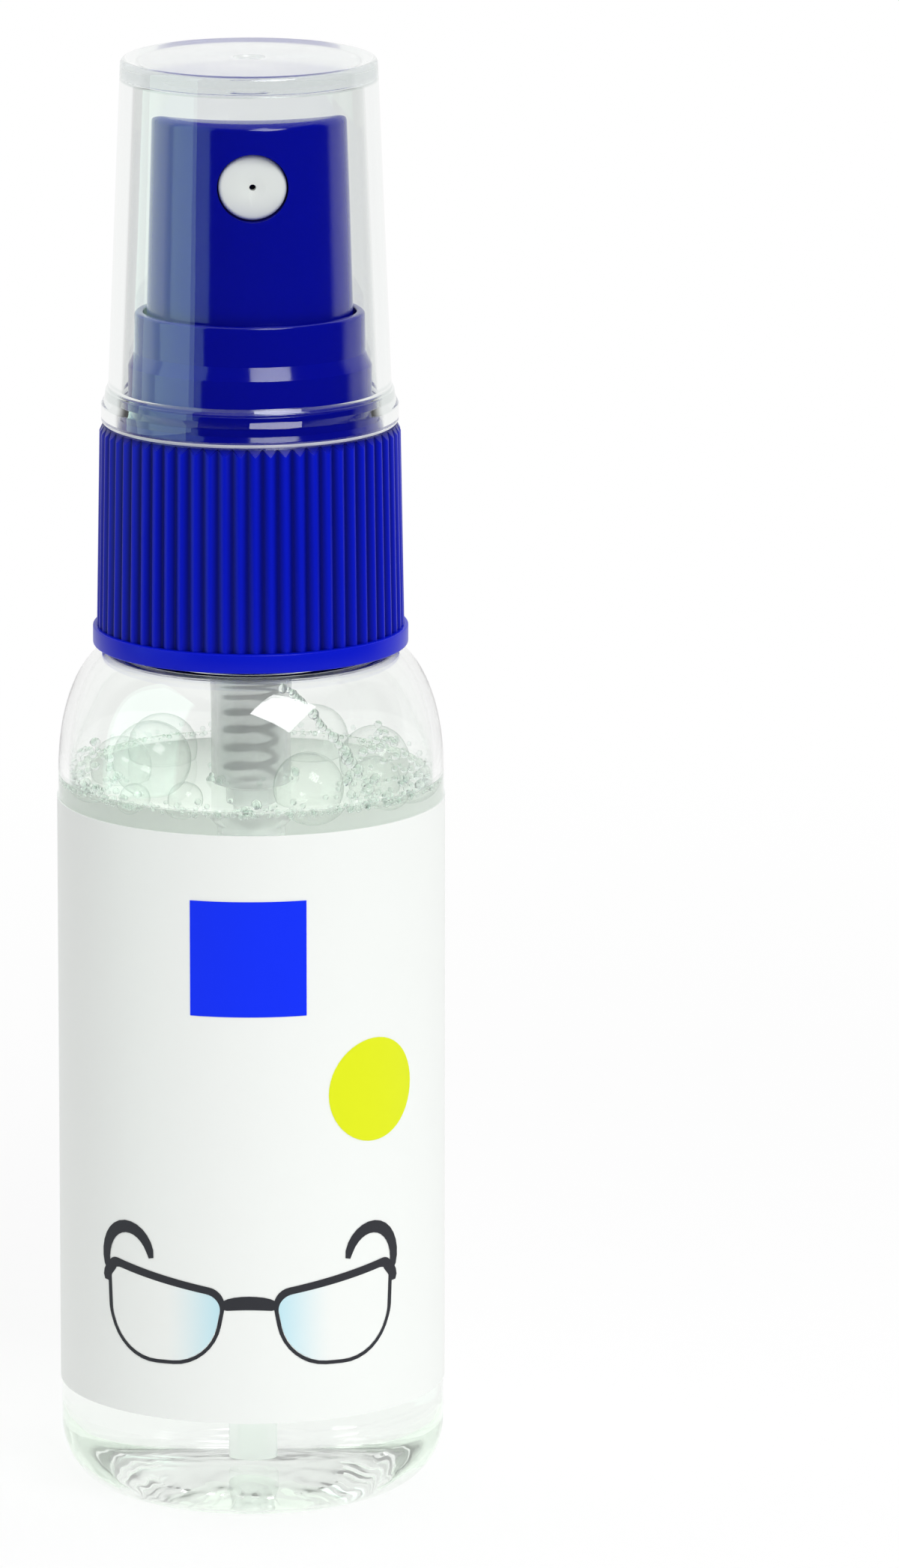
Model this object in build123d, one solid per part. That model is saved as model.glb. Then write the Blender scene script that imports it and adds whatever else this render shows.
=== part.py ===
from build123d import *
import math
import os

# Pocket spray for cleaning spectacle lenses: a clear bottle with a wrap label, a fine mist
# pump held down by a ribbed screw closure, and a clear overcap.
# Units are millimetres. +Z is up, the origin is the middle of the foot, and -Y is the front.

# ---------------------------------------------------------------- bottle
bottle_r = 14.5
wall = 0.8
base_wall = 1.0
heel_width = 3.9
heel_height = 4.65
foot_width = 0.45
push_up = 1.0
shoulder_z = 64.35
dome_height = 9.55
neck_r = 8.8
neck_wall = 1.2
neck_height = 14.1
neck_root = 0.4
lip_chamfer = 0.35

# ---------------------------------------------------------------- label and liquid
label_thickness = 0.08
label_bottom_z = 8.05
label_below_dome = 1.6
label_gap = 2.2
label_seam_angle = 70.8
liquid_below_dome = 0.3
liquid_gap = 0.05
liquid_pump_gap = 0.35

# ---------------------------------------------------------------- fits between pieces
slip = 0.05
push_fit = 0.02
seat_gap = 0.02

# ---------------------------------------------------------------- pump stack on the neck
gasket_thickness = 0.9
gasket_inset = 0.1
gasket_wall_gap = 0.1
flange_thickness = 0.85
flange_inset = 0.05
cup_neck_gap = 1.4
cup_wall = 0.8
cup_depth = 3.85
cup_floor = 0.6

# ---------------------------------------------------------------- closure
thread_room = 1.2
closure_bottom_gap = 0.3
closure_deck = 1.35
closure_lead_in = 0.35
skirt_wall = 1.62
skirt_lean = 0.26
band_step = 0.21
band_height = 1.65
crest_flat = 0.12
valley_flat = 0.14
rib_depth = 0.42
rib_count = 62
rib_top_chamfer = 0.75
seat_step = 0.69
seat_height = 2.2
collar_wall = 0.66
collar_step = 0.48
collar_step_z = 4.8
collar_step_height = 1.0
collar_overlap = 3.1
small_edge = 0.2

# ---------------------------------------------------------------- overcap
cap_wall = 1.15
cap_foot_gap = 0.1
cap_grip_gap = 0.1
cap_foot_wall = 1.27
cap_skirt_height = 1.6
cap_flare = 0.52
cap_flare_height = 1.0
cap_lean = 1.03
cap_head_room = 2.35
cap_ceiling = 1.5
cap_edge = 0.45
gate_mark_r = 1.2
gate_mark_depth = 0.2

# ---------------------------------------------------------------- pump barrel
stroke = 5.0
stroke_spare = 0.25
barrel_bore_r = 3.05
barrel_wall = 0.8
vent_r = 0.4
vent_up = 2.236
spring_room = 0.275
spring_barrel_wall = 0.6
spring_barrel_length = 10.45
nub_bore_r = 1.1
pocket_slot_width = 0.7
pocket_slot_depth = 0.55
pocket_slot_run = 1.6
pocket_slot_drop = 0.6
shelf_height = 1.2
inlet_bore_r = 0.75
seat_web = 0.6
tail_wall = 0.53
tail_length = 4.9
tail_cone = 1.6

# ---------------------------------------------------------------- ball, tube and spring
ball_r = 1.25
ball_gap = 0.03
ball_side_gap = 0.2
ball_lift = 0.5
tube_r = 1.35
tube_wall = 0.6
tube_seat = 4.4
tube_foot_gap = 0.5
wire_r = 0.25
wire_facets = 6
spring_r = 2.125
spring_turns = 11

# ---------------------------------------------------------------- retainer
retainer_lip = 0.45
retainer_flange = 0.65
retainer_play = 0.15
retainer_wall = 0.7
retainer_web = 0.8
retainer_web_drop = 1.2
retainer_floor_gap = 0.1
guide_gap = 0.15
guide_rise = 2.2
guide_drop = 4.75
air_hole_r = 0.4
air_hole_count = 3

# ---------------------------------------------------------------- piston, core and stem
piston_height = 5.2
hub_bore_r = 1.55
hub_wall = 0.55
hub_head_step = 0.4
hub_head_height = 0.7
lip_wall = 0.3
lip_rise = 1.5
lip_root = 0.1
lip_foot_gap = 0.3
web_thickness = 0.8
stem_shoulder = 0.45
stem_bore_r = 0.95
stem_nose_length = 2.3
stem_socket = 4.25
stem_edge = 0.25
core_flange_lip = 0.075
core_flange = 0.8
core_rod_gap = 0.1
core_rod_length = 7.0
core_pin_r = 1.2
core_pin_length = 3.0
core_pin_edge = 0.4
flute_width = 0.5
flute_depth = 0.3
flute_count = 3

# ---------------------------------------------------------------- actuator and nozzle
actuator_room = 0.22
actuator_wall = 0.9
actuator_lean = 0.57
actuator_foot_gap = 0.7
actuator_height = 18.05
actuator_edge = 0.65
collar_gap = 0.15
dish_r = 16.0
dish_plan_r = 9.5
dish_land = 2.6
socket_wall = 1.25
socket_foot_gap = 2.05
stiffener = 0.8
nozzle_drop = 4.75
nozzle_r = 2.46
nozzle_gap = 0.09
nozzle_inset = 0.5
nozzle_length = 4.6
nozzle_face = 0.75
nozzle_wall = 0.71
nozzle_post_gap = 0.2
swirl_gap = 0.3
orifice_r = 0.22
dimple_r = 0.95
dimple_depth = 0.12
feed_r = 0.45
head_turn = 3.0

# ---------------------------------------------------------------- radii worked out from these
neck_bore_r = neck_r - neck_wall
flange_r = neck_r - flange_inset
cup_r = neck_bore_r - cup_neck_gap
closure_bore_r = neck_r + thread_room
land_r = closure_bore_r
crest_low_r = closure_bore_r + skirt_wall
crest_top_r = crest_low_r - skirt_lean
band_r = crest_low_r + band_step
retainer_flange_r = cup_r + retainer_lip
actuator_low_r = retainer_flange_r + actuator_room + actuator_wall
actuator_top_r = actuator_low_r - actuator_lean
collar_bore_r = actuator_low_r + collar_gap
collar_top_r = collar_bore_r + collar_wall
collar_low_r = collar_top_r + collar_step
seat_r = collar_low_r + seat_step
cap_grip_r = seat_r + cap_grip_gap
cap_skirt_r = cap_grip_r + cap_foot_wall
cap_waist_r = cap_skirt_r - cap_flare
cap_top_r = cap_waist_r - cap_lean
barrel_r = barrel_bore_r + barrel_wall
spring_bore_r = spring_r + spring_room
spring_barrel_r = spring_bore_r + spring_barrel_wall
pocket_r = ball_r + ball_side_gap
tail_r = tube_r + push_fit + tail_wall
core_flange_r = spring_r + core_flange_lip
core_rod_r = stem_bore_r - core_rod_gap
stem_r = hub_bore_r + stem_shoulder
hub_r = hub_bore_r + hub_wall
nozzle_bore_r = nozzle_r - nozzle_wall

# ---------------------------------------------------------------- heights worked out from these
dome_start_z = shoulder_z - dome_height
neck_top_z = shoulder_z + neck_height
flange_z = neck_top_z + gasket_thickness
flange_top_z = flange_z + flange_thickness
deck_z = flange_top_z + slip
deck_top_z = deck_z + closure_deck
cup_top_z = deck_top_z + retainer_play
cup_floor_z = cup_top_z - cup_depth
seat_top_z = deck_top_z + seat_height
guide_top_z = cup_top_z + guide_rise
piston_top_z = cup_top_z - guide_drop - slip
piston_z = piston_top_z - piston_height
bore_foot_z = piston_z - stroke - stroke_spare
barrel_foot_z = bore_foot_z - (barrel_r - spring_barrel_r)
shelf_z = barrel_foot_z - (barrel_r - spring_barrel_r) - spring_barrel_length
cone_top_z = shelf_z - shelf_height
tail_z = cone_top_z - tail_cone
tail_end_z = tail_z - tail_length
seat_z = tail_end_z + tube_seat + seat_web
ball_z = seat_z - inlet_bore_r + (ball_r + ball_gap) * math.sqrt(2)
nub_z = ball_z + ball_lift + math.sqrt(ball_r**2 - nub_bore_r**2) + ball_gap
core_flange_z = piston_z - slip - core_flange - (core_flange_r - hub_bore_r)
actuator_z = deck_top_z + stroke + actuator_foot_gap
actuator_top_z = actuator_z + actuator_height
collar_top_z = actuator_z + collar_overlap
socket_z = guide_top_z + stroke + socket_foot_gap
stem_z = piston_top_z - stem_nose_length
stem_top_z = socket_z + stem_socket
nozzle_z = actuator_top_z - nozzle_drop
cap_z = deck_top_z + cap_foot_gap
cap_top_z = actuator_top_z + cap_head_room + cap_ceiling


def ring(*corners):
    """Turn a closed outline of (radius, height) corners about the bottle's axis."""
    return revolve(Plane.XZ * make_face(Polyline(*corners, close=True)), Axis.Z)


def tube(outer_r, bore_r, low_z, high_z):
    """A plain round tube between two heights."""
    return ring((bore_r, low_z), (outer_r, low_z), (outer_r, high_z), (bore_r, high_z))


def rod(radius, low_z, high_z):
    """A plain round rod between two heights."""
    return Pos(0, 0, low_z) * extrude(Circle(radius), high_z - low_z)


def rims(solid, radius, height):
    """The circular edges of a solid at one radius and height."""
    return [
        edge
        for edge in solid.edges().filter_by(GeomType.CIRCLE)
        if abs(edge.radius - radius) < 1e-3 and abs(edge.arc_center.Z - height) < 1e-3
    ]


def bottle_outline(inset, floor_inset, top_z, throat_r):
    """Half outline of the bottle from its foot to its mouth, moved in by a wall.

    The heel and the shoulder are quarter ellipses, so they meet the straight side smoothly.
    """
    side = bottle_r - inset
    heel_x = bottle_r - heel_width
    foot_x = heel_x - foot_width
    floor_z = floor_inset
    land = shoulder_z - inset
    centre = (0, push_up + floor_z)
    arch_slope = push_up * 0.5
    arch_mid = (foot_x * 0.5, floor_z + push_up - arch_slope * 0.5)
    lines = [
        ThreePointArc(centre, arch_mid, (foot_x, floor_z)),
        Line((foot_x, floor_z), (heel_x, floor_z)),
        EllipticalCenterArc(
            (heel_x, heel_height),
            heel_width - inset,
            heel_height - floor_z,
            start_angle=270,
            arc_size=90,
        ),
        Line((side, heel_height), (side, dome_start_z)),
        EllipticalCenterArc(
            (land_r, dome_start_z),
            side - land_r,
            land - dome_start_z,
            start_angle=0,
            arc_size=90,
        ),
        Polyline((land_r, land), (throat_r, land), (throat_r, top_z), (0, top_z), centre),
    ]
    return make_face(Curve() + lines)


def make_bottle():
    """Blow-moulded PET bottle with a round heel, a pushed-up base and a plain neck finish."""
    outside = revolve(Plane.XZ * bottle_outline(0, 0, neck_top_z, neck_r), Axis.Z)
    inside = revolve(
        Plane.XZ * bottle_outline(wall, base_wall, neck_top_z, neck_bore_r), Axis.Z
    )
    bottle = outside - inside
    bottle = chamfer(rims(bottle, neck_r, neck_top_z), lip_chamfer)
    bottle = chamfer(rims(bottle, neck_r, shoulder_z), neck_root)
    return chamfer(rims(bottle, neck_bore_r, shoulder_z - wall), neck_root * 2)


def make_label():
    """Thin film wrapped round the bottle, with an open seam on the left."""
    inner = bottle_r + push_fit
    height = dome_start_z - label_below_dome - label_bottom_z
    gap_angle = math.degrees(label_gap / bottle_r)
    start = 270 - label_seam_angle + gap_angle / 2
    strip = Pos(inner, label_bottom_z) * Rectangle(
        label_thickness, height, align=(Align.MIN, Align.MIN)
    )
    return Rot(0, 0, start) * revolve(Plane.XZ * strip, Axis.Z, 360 - gap_angle)


def make_liquid():
    """The cleaning liquid up to its level, with room round the pump's tail and dip tube."""
    body = revolve(
        Plane.XZ
        * bottle_outline(wall + liquid_gap, base_wall + liquid_gap, neck_top_z, neck_bore_r),
        Axis.Z,
    )
    body -= rod(bottle_r, dome_start_z - liquid_below_dome, neck_top_z + 1)
    body -= rod(tube_r + liquid_pump_gap, 0, tail_end_z)
    body -= rod(tail_r + liquid_pump_gap, tail_end_z - liquid_pump_gap, tail_z)
    return body - rod(spring_barrel_r + liquid_pump_gap, tail_z - liquid_pump_gap, shoulder_z)


def make_closure():
    """Screw closure: bored skirt with fine ribs, deck, cap seat and the tall actuator collar."""
    bottom_z = shoulder_z + closure_bottom_gap
    band_top_z = bottom_z + band_height
    step_z = deck_top_z + collar_step_z
    closure = ring(
        (closure_bore_r + closure_lead_in, bottom_z),
        (band_r, bottom_z),
        (band_r, band_top_z),
        (crest_low_r, band_top_z),
        (crest_top_r, deck_top_z),
        (seat_r, deck_top_z),
        (seat_r, seat_top_z),
        (collar_low_r, seat_top_z),
        (collar_low_r, step_z),
        (collar_top_r, step_z + collar_step_height),
        (collar_top_r, collar_top_z),
        (collar_bore_r, collar_top_z),
        (collar_bore_r, deck_top_z),
        (cup_r + slip, deck_top_z),
        (cup_r + slip, deck_z),
        (closure_bore_r, deck_z),
        (closure_bore_r, bottom_z + closure_lead_in),
    )
    closure = chamfer(
        rims(closure, crest_top_r, deck_top_z), rib_top_chamfer, rib_top_chamfer * 0.5
    )
    closure = chamfer(rims(closure, collar_top_r, collar_top_z), small_edge)
    closure = chamfer(rims(closure, seat_r, seat_top_z), small_edge)
    closure = chamfer(rims(closure, band_r, band_top_z), small_edge / 2)
    return closure - rib_grooves(band_top_z)


def rib_grooves(band_top_z):
    """The V grooves that leave sharp upright ribs round the skirt, leaning with its draft."""
    pitch = 2 * math.pi * crest_low_r / rib_count
    outer = crest_low_r + rib_depth
    half_mouth = (pitch - crest_flat) / 2
    flank = (half_mouth - valley_flat / 2) / rib_depth
    half_outer = half_mouth + flank * rib_depth
    valley = crest_low_r - rib_depth
    section = make_face(
        Polyline(
            (valley, -valley_flat / 2),
            (outer, -half_outer),
            (outer, half_outer),
            (valley, valley_flat / 2),
            close=True,
        )
    )
    height = deck_top_z - band_top_z
    lean = Vector(crest_top_r - crest_low_r, 0, height).normalized()
    groove = extrude(Pos(0, 0, band_top_z) * section, amount=height * 1.1, dir=lean)
    return [Rot(0, 0, 360 * n / rib_count) * groove for n in range(rib_count)]


def make_overcap():
    """Clear overcap with a flared foot that grips the closure and a thick flat top."""
    skirt_top_z = cap_z + cap_skirt_height
    waist_z = skirt_top_z + cap_flare_height
    inner_waist_r = cap_waist_r - cap_wall
    cap = ring(
        (cap_grip_r, cap_z),
        (cap_skirt_r, cap_z),
        (cap_skirt_r, skirt_top_z),
        (cap_waist_r, waist_z),
        (cap_top_r, cap_top_z),
        (0, cap_top_z),
        (0, cap_top_z - cap_ceiling),
        (cap_top_r - cap_wall, cap_top_z - cap_ceiling),
        (inner_waist_r, waist_z),
        (cap_grip_r, seat_top_z + cap_grip_gap * 2),
    )
    cap = fillet(rims(cap, cap_top_r, cap_top_z), cap_edge)
    cap = chamfer(rims(cap, cap_top_r - cap_wall, cap_top_z - cap_ceiling), small_edge)
    cap = chamfer(rims(cap, cap_skirt_r, cap_z), small_edge)
    return cap - rod(gate_mark_r, cap_top_z - gate_mark_depth, cap_top_z + 1)


def make_housing():
    """Pump body: snap cup, sealing flange, barrel, spring barrel, ball pocket and tail."""
    housing = ring(
        (inlet_bore_r, tail_end_z + tube_seat),
        (tube_r + push_fit, tail_end_z + tube_seat),
        (tube_r + push_fit, tail_end_z),
        (tail_r, tail_end_z),
        (tail_r, tail_z),
        (spring_barrel_r, cone_top_z),
        (spring_barrel_r, barrel_foot_z - (barrel_r - spring_barrel_r)),
        (barrel_r, barrel_foot_z),
        (barrel_r, cup_floor_z - cup_floor),
        (cup_r, cup_floor_z - cup_floor),
        (cup_r, flange_z),
        (flange_r, flange_z),
        (flange_r, flange_top_z),
        (cup_r, flange_top_z),
        (cup_r, cup_top_z),
        (cup_r - cup_wall, cup_top_z),
        (cup_r - cup_wall, cup_floor_z),
        (barrel_bore_r, cup_floor_z),
        (barrel_bore_r, bore_foot_z),
        (spring_bore_r, barrel_foot_z),
        (spring_bore_r, shelf_z),
        (nub_bore_r, shelf_z),
        (nub_bore_r, nub_z),
        (pocket_r, nub_z),
        (pocket_r, seat_z + pocket_r - inlet_bore_r),
        (inlet_bore_r, seat_z),
    )
    slot = Pos(0, 0, cone_top_z - pocket_slot_drop) * Box(
        2 * (pocket_r + pocket_slot_depth), pocket_slot_width, shelf_height + pocket_slot_run,
        align=(Align.CENTER, Align.CENTER, Align.MIN),
    )
    housing -= [slot, Rot(0, 0, 90) * slot]
    vent = Pos(0, barrel_r, piston_z + vent_up) * Rot(90, 0, 0) * Cylinder(vent_r, barrel_r)
    return housing - vent


def make_gasket():
    """Flat foam washer between the neck's lip and the pump's flange."""
    return tube(neck_r - gasket_inset, cup_r + gasket_wall_gap, neck_top_z, flange_z)


def make_retainer():
    """Snap ring in the cup: it traps the closure, guides the stem and stops the piston."""
    plug_r = cup_r - cup_wall - push_fit
    guide_bore = stem_r + slip
    guide_r = barrel_bore_r - guide_gap
    web_z = cup_top_z - retainer_web_drop
    plug_in = plug_r - retainer_wall
    plug_z = cup_floor_z + retainer_floor_gap
    retainer = ring(
        (guide_bore, cup_top_z - guide_drop),
        (guide_r, cup_top_z - guide_drop),
        (guide_r, web_z),
        (plug_in, web_z),
        (plug_in, plug_z),
        (plug_r, plug_z),
        (plug_r, cup_top_z),
        (retainer_flange_r, cup_top_z),
        (retainer_flange_r, cup_top_z + retainer_flange),
        (plug_in, cup_top_z + retainer_flange),
        (plug_in, web_z + retainer_web),
        (guide_r, web_z + retainer_web),
        (guide_r, guide_top_z),
        (guide_bore, guide_top_z),
    )
    hole_at = (guide_r + plug_in) / 2
    hole = Pos(hole_at, 0, web_z) * Cylinder(air_hole_r, 4 * retainer_web)
    return retainer - [Rot(0, 0, 360 * n / air_hole_count) * hole for n in range(air_hole_count)]


def make_piston():
    """Soft piston: a hub that is the outlet valve's seat, and two lips that wipe the barrel."""
    hub_head_r = hub_r + hub_head_step
    lip_r = barrel_bore_r - slip
    root_r = lip_r - lip_wall
    waist = root_r + lip_wall * 0.4
    web_low = piston_z + lip_rise + lip_foot_gap
    web_high = web_low + web_thickness
    return ring(
        (hub_bore_r, piston_z),
        (hub_r, piston_z),
        (hub_r, web_low),
        (root_r - lip_root, web_low),
        (root_r, web_low - lip_rise),
        (lip_r, web_low - lip_rise),
        (waist, web_low),
        (waist, web_high),
        (lip_r, web_high + lip_rise),
        (root_r, web_high + lip_rise),
        (root_r - lip_root, web_high),
        (hub_r, web_high),
        (hub_r, piston_top_z - hub_head_height),
        (hub_head_r, piston_top_z - hub_head_height),
        (hub_head_r, piston_top_z),
        (hub_bore_r, piston_top_z),
    )


def make_core():
    """Valve core under the piston: spring pin, flange, seat cone and the fluted rod."""
    cone_z = core_flange_z + core_flange
    cone_high_z = cone_z + core_flange_r - core_rod_r
    rod_top_z = cone_high_z + core_rod_length
    core = ring(
        (0, core_flange_z - core_pin_length),
        (core_pin_r, core_flange_z - core_pin_length),
        (core_pin_r, core_flange_z),
        (core_flange_r, core_flange_z),
        (core_flange_r, cone_z),
        (core_rod_r, cone_high_z),
        (core_rod_r, rod_top_z),
        (0, rod_top_z),
    )
    core = chamfer(rims(core, core_pin_r, core_flange_z - core_pin_length), core_pin_edge)
    core = chamfer(rims(core, core_rod_r, rod_top_z), small_edge)
    flute = Pos(core_rod_r, 0, cone_high_z) * Box(
        2 * flute_depth, flute_width, core_rod_length * 1.1,
        align=(Align.CENTER, Align.CENTER, Align.MIN),
    )
    return core - [Rot(0, 0, 360 * n / flute_count) * flute for n in range(flute_count)]


def make_spring():
    """Return spring: one round wire from the barrel's shelf to the core's flange."""
    low_z = shelf_z + seat_gap
    high_z = core_flange_z - seat_gap
    rise = high_z - low_z - 2 * wire_r
    coil = Helix(rise / spring_turns, rise, spring_r - wire_r, center=(0, 0, low_z + wire_r))
    section = Plane(origin=coil @ 0, z_dir=coil % 0) * RegularPolygon(wire_r, wire_facets)
    return sweep(section, path=coil, is_frenet=True)


def make_ball():
    """Steel ball that shuts the inlet, resting on its cone."""
    return Pos(0, 0, ball_z) * Sphere(ball_r)


def make_dip_tube():
    """Straight dip tube from the tail's socket to just above the base."""
    foot_z = base_wall + push_up + tube_foot_gap
    return tube(tube_r, tube_r - tube_wall, foot_z, tail_end_z + tube_seat - slip)


def make_stem():
    """Hollow stem: a nose in the piston's hub, a shoulder that drives it, and the tube."""
    nose_r = hub_bore_r - slip
    shoulder = piston_top_z + push_fit
    stem = ring(
        (stem_bore_r, stem_z),
        (nose_r, stem_z),
        (nose_r, shoulder),
        (stem_r, shoulder),
        (stem_r, stem_top_z),
        (stem_bore_r, stem_top_z),
    )
    return chamfer(rims(stem, stem_r, stem_top_z), stem_edge)


def finger_dish(grow):
    """The ball that hollows the actuator's top, grown by a wall when asked."""
    centre_z = actuator_top_z + math.sqrt(dish_r**2 - dish_plan_r**2)
    centre_y = dish_land - actuator_top_r + dish_plan_r
    return Pos(0, centre_y, centre_z) * Sphere(dish_r + grow)


def along_nozzle(radius, front_y, back_y):
    """A rod on the nozzle's line, which runs level to the front."""
    return Pos(0, back_y, nozzle_z) * Rot(90, 0, 0) * extrude(Circle(radius), back_y - front_y)


def make_actuator():
    """Push-button with draft, a finger dish that falls to the back, and the nozzle socket."""
    socket_r = stem_r + push_fit
    face_y = nozzle_inset - actuator_top_r
    socket_back_y = face_y + nozzle_length + swirl_gap
    post_front_y = face_y + nozzle_face + swirl_gap / 2
    body = ring(
        (0, actuator_z),
        (actuator_low_r, actuator_z),
        (actuator_top_r, actuator_top_z),
        (0, actuator_top_z),
    )
    body = fillet(rims(body, actuator_top_r, actuator_top_z), actuator_edge)
    hollow = ring(
        (0, actuator_z),
        (actuator_low_r - actuator_wall, actuator_z),
        (actuator_top_r - actuator_wall, actuator_top_z - actuator_wall),
        (0, actuator_top_z - actuator_wall),
    )
    hollow -= finger_dish(actuator_wall)
    hollow -= rod(socket_r + socket_wall, socket_z, actuator_top_z)
    hollow -= along_nozzle(nozzle_r + nozzle_gap + actuator_wall, -actuator_low_r, 0)
    rib = Pos(0, 0, stem_top_z) * Box(
        2 * actuator_low_r, stiffener, nozzle_drop * 2,
        align=(Align.CENTER, Align.CENTER, Align.MIN),
    )
    hollow -= rib
    body -= finger_dish(0)
    body -= hollow
    body -= rod(socket_r, socket_z - 1, stem_top_z + push_fit)
    feed_z = nozzle_z + nozzle_bore_r - feed_r
    body -= rod(stem_bore_r, stem_top_z, feed_z + feed_r)
    socket = along_nozzle(nozzle_r + nozzle_gap, -actuator_low_r - 1, socket_back_y)
    post = along_nozzle(nozzle_bore_r - nozzle_post_gap, post_front_y, socket_back_y)
    body -= socket - post
    feed = Pos(0, 0, feed_z) * Rot(90, 0, 0) * extrude(Circle(feed_r), -socket_back_y + 0.2)
    return Rot(0, 0, head_turn) * (body - feed)


def make_nozzle_insert():
    """Cup-shaped orifice insert on the actuator's post, with a dimpled face."""
    face_y = nozzle_inset - actuator_top_r
    insert = along_nozzle(nozzle_r, face_y, face_y + nozzle_length)
    insert -= along_nozzle(nozzle_bore_r, face_y + nozzle_face, face_y + nozzle_length + 1)
    insert -= along_nozzle(orifice_r, face_y - 1, face_y + nozzle_face + 1)
    insert -= Pos(0, face_y + dimple_depth, nozzle_z) * Rot(90, 0, 0) * Cone(
        orifice_r, dimple_r, dimple_depth, align=(Align.CENTER, Align.CENTER, Align.MIN)
    )
    return Rot(0, 0, head_turn) * insert


nodes = {
    "bottle": make_bottle,
    "label": make_label,
    "cleaning_fluid": make_liquid,
    "closure": make_closure,
    "overcap": make_overcap,
    "pump_housing": make_housing,
    "gasket": make_gasket,
    "retainer_ring": make_retainer,
    "piston": make_piston,
    "valve_core": make_core,
    "return_spring": make_spring,
    "inlet_ball": make_ball,
    "dip_tube": make_dip_tube,
    "stem": make_stem,
    "actuator": make_actuator,
    "nozzle_insert": make_nozzle_insert,
}

os.makedirs("parts", exist_ok=True)
for name, make in nodes.items():
    export_step(make(), f"parts/{name}.step")
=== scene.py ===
import math
import random
from functools import partial

import bpy
from bpy.props import FloatProperty, FloatVectorProperty, IntProperty, PointerProperty
from mathutils import Matrix, Vector


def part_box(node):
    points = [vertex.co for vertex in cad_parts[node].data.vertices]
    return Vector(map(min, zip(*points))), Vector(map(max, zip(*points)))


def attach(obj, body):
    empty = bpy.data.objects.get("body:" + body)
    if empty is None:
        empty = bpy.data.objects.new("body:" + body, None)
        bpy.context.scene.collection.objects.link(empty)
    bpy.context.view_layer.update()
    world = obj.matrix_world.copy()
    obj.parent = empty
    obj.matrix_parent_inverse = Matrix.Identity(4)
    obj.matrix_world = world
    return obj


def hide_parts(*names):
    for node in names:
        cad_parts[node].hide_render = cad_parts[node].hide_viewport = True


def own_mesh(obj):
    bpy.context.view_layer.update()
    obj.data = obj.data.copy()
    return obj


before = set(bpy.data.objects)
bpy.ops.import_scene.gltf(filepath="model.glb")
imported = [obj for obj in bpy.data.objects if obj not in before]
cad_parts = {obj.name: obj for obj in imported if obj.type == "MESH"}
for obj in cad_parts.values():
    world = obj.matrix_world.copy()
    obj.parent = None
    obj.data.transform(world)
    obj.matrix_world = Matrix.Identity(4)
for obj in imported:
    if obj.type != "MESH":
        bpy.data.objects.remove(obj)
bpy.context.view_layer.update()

bl_info = {
    "name": "Lens cleaning spray",
    "version": (1, 0, 0),
    "blender": (4, 5, 0),
    "location": "View3D > Sidebar > Lens spray",
    "description": "Builds a pocket lens spray: bottle, label, liquid, pump, closure and overcap",
    "category": "Object",
}

MM = 0.001
LOWEST, HIGHEST = 0, 1
# Vertices that are closer than this are made one.
WELD = 0.0005 * MM
# An edge that turns by less than this is shaded smooth.
SOFT_EDGE = math.radians(35)
# The point that pieces are turned and scaled about, on the bottle's axis.
AXIS = (0, 0, 0)
FULL_TURN = 2 * math.pi
# A round primitive with its axis from front to back.
LYING = (math.pi / 2, 0, 0)
# Equal parts of the ring of foam.
RING_PARTS = 12
# How much each stuff bends light. Froth is mostly air, and the dip tube's is against the liquid round it.
PET, POLYPROPYLENE, WATER, FROTH, TUBE_IN_WATER = 1.57, 1.49, 1.335, 1.12, 1.13
WHITE = (1, 1, 1, 1)
# The sockets of a Mix node that mixes colours.
SHARE, FROM, TO, MIXED = 0, 6, 7, 2
MULTIPLY = {"data_type": "RGBA", "blend_type": "MULTIPLY"}
SMOOTH = {"interpolation_type": "SMOOTHSTEP"}


def cad(node, corner):
    """One corner of a CAD node's box at rest, in metres."""
    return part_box(node)[corner]


def linear(code):
    """A colour written as sRGB hex, such as "#0A18A6", as linear red, green and blue."""
    parts = [int(code[n : n + 2], 16) / 255 for n in (1, 3, 5)]
    return tuple(c / 12.92 if c <= 0.04045 else ((c + 0.055) / 1.055) ** 2.4 for c in parts)


def length(name, description, default):
    """A length that a user may change, with its default in millimetres."""
    return FloatProperty(
        name=name, description=description, default=default * MM, unit="LENGTH", precision=5
    )


def degrees(name, description, size):
    """An angle that a user may change."""
    default = math.radians(size)
    return FloatProperty(name=name, description=description, default=default, subtype="ANGLE")


def number(name, description, default):
    """A plain number that a user may change."""
    return FloatProperty(name=name, description=description, default=default)


def colour(name, description, code):
    """A surface colour that a user may change."""
    default = linear(code)
    return FloatVectorProperty(
        name=name, description=description, default=default, subtype="COLOR", min=0, max=1
    )


# ------------------------------------------------------------------ sizes and colours


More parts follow.
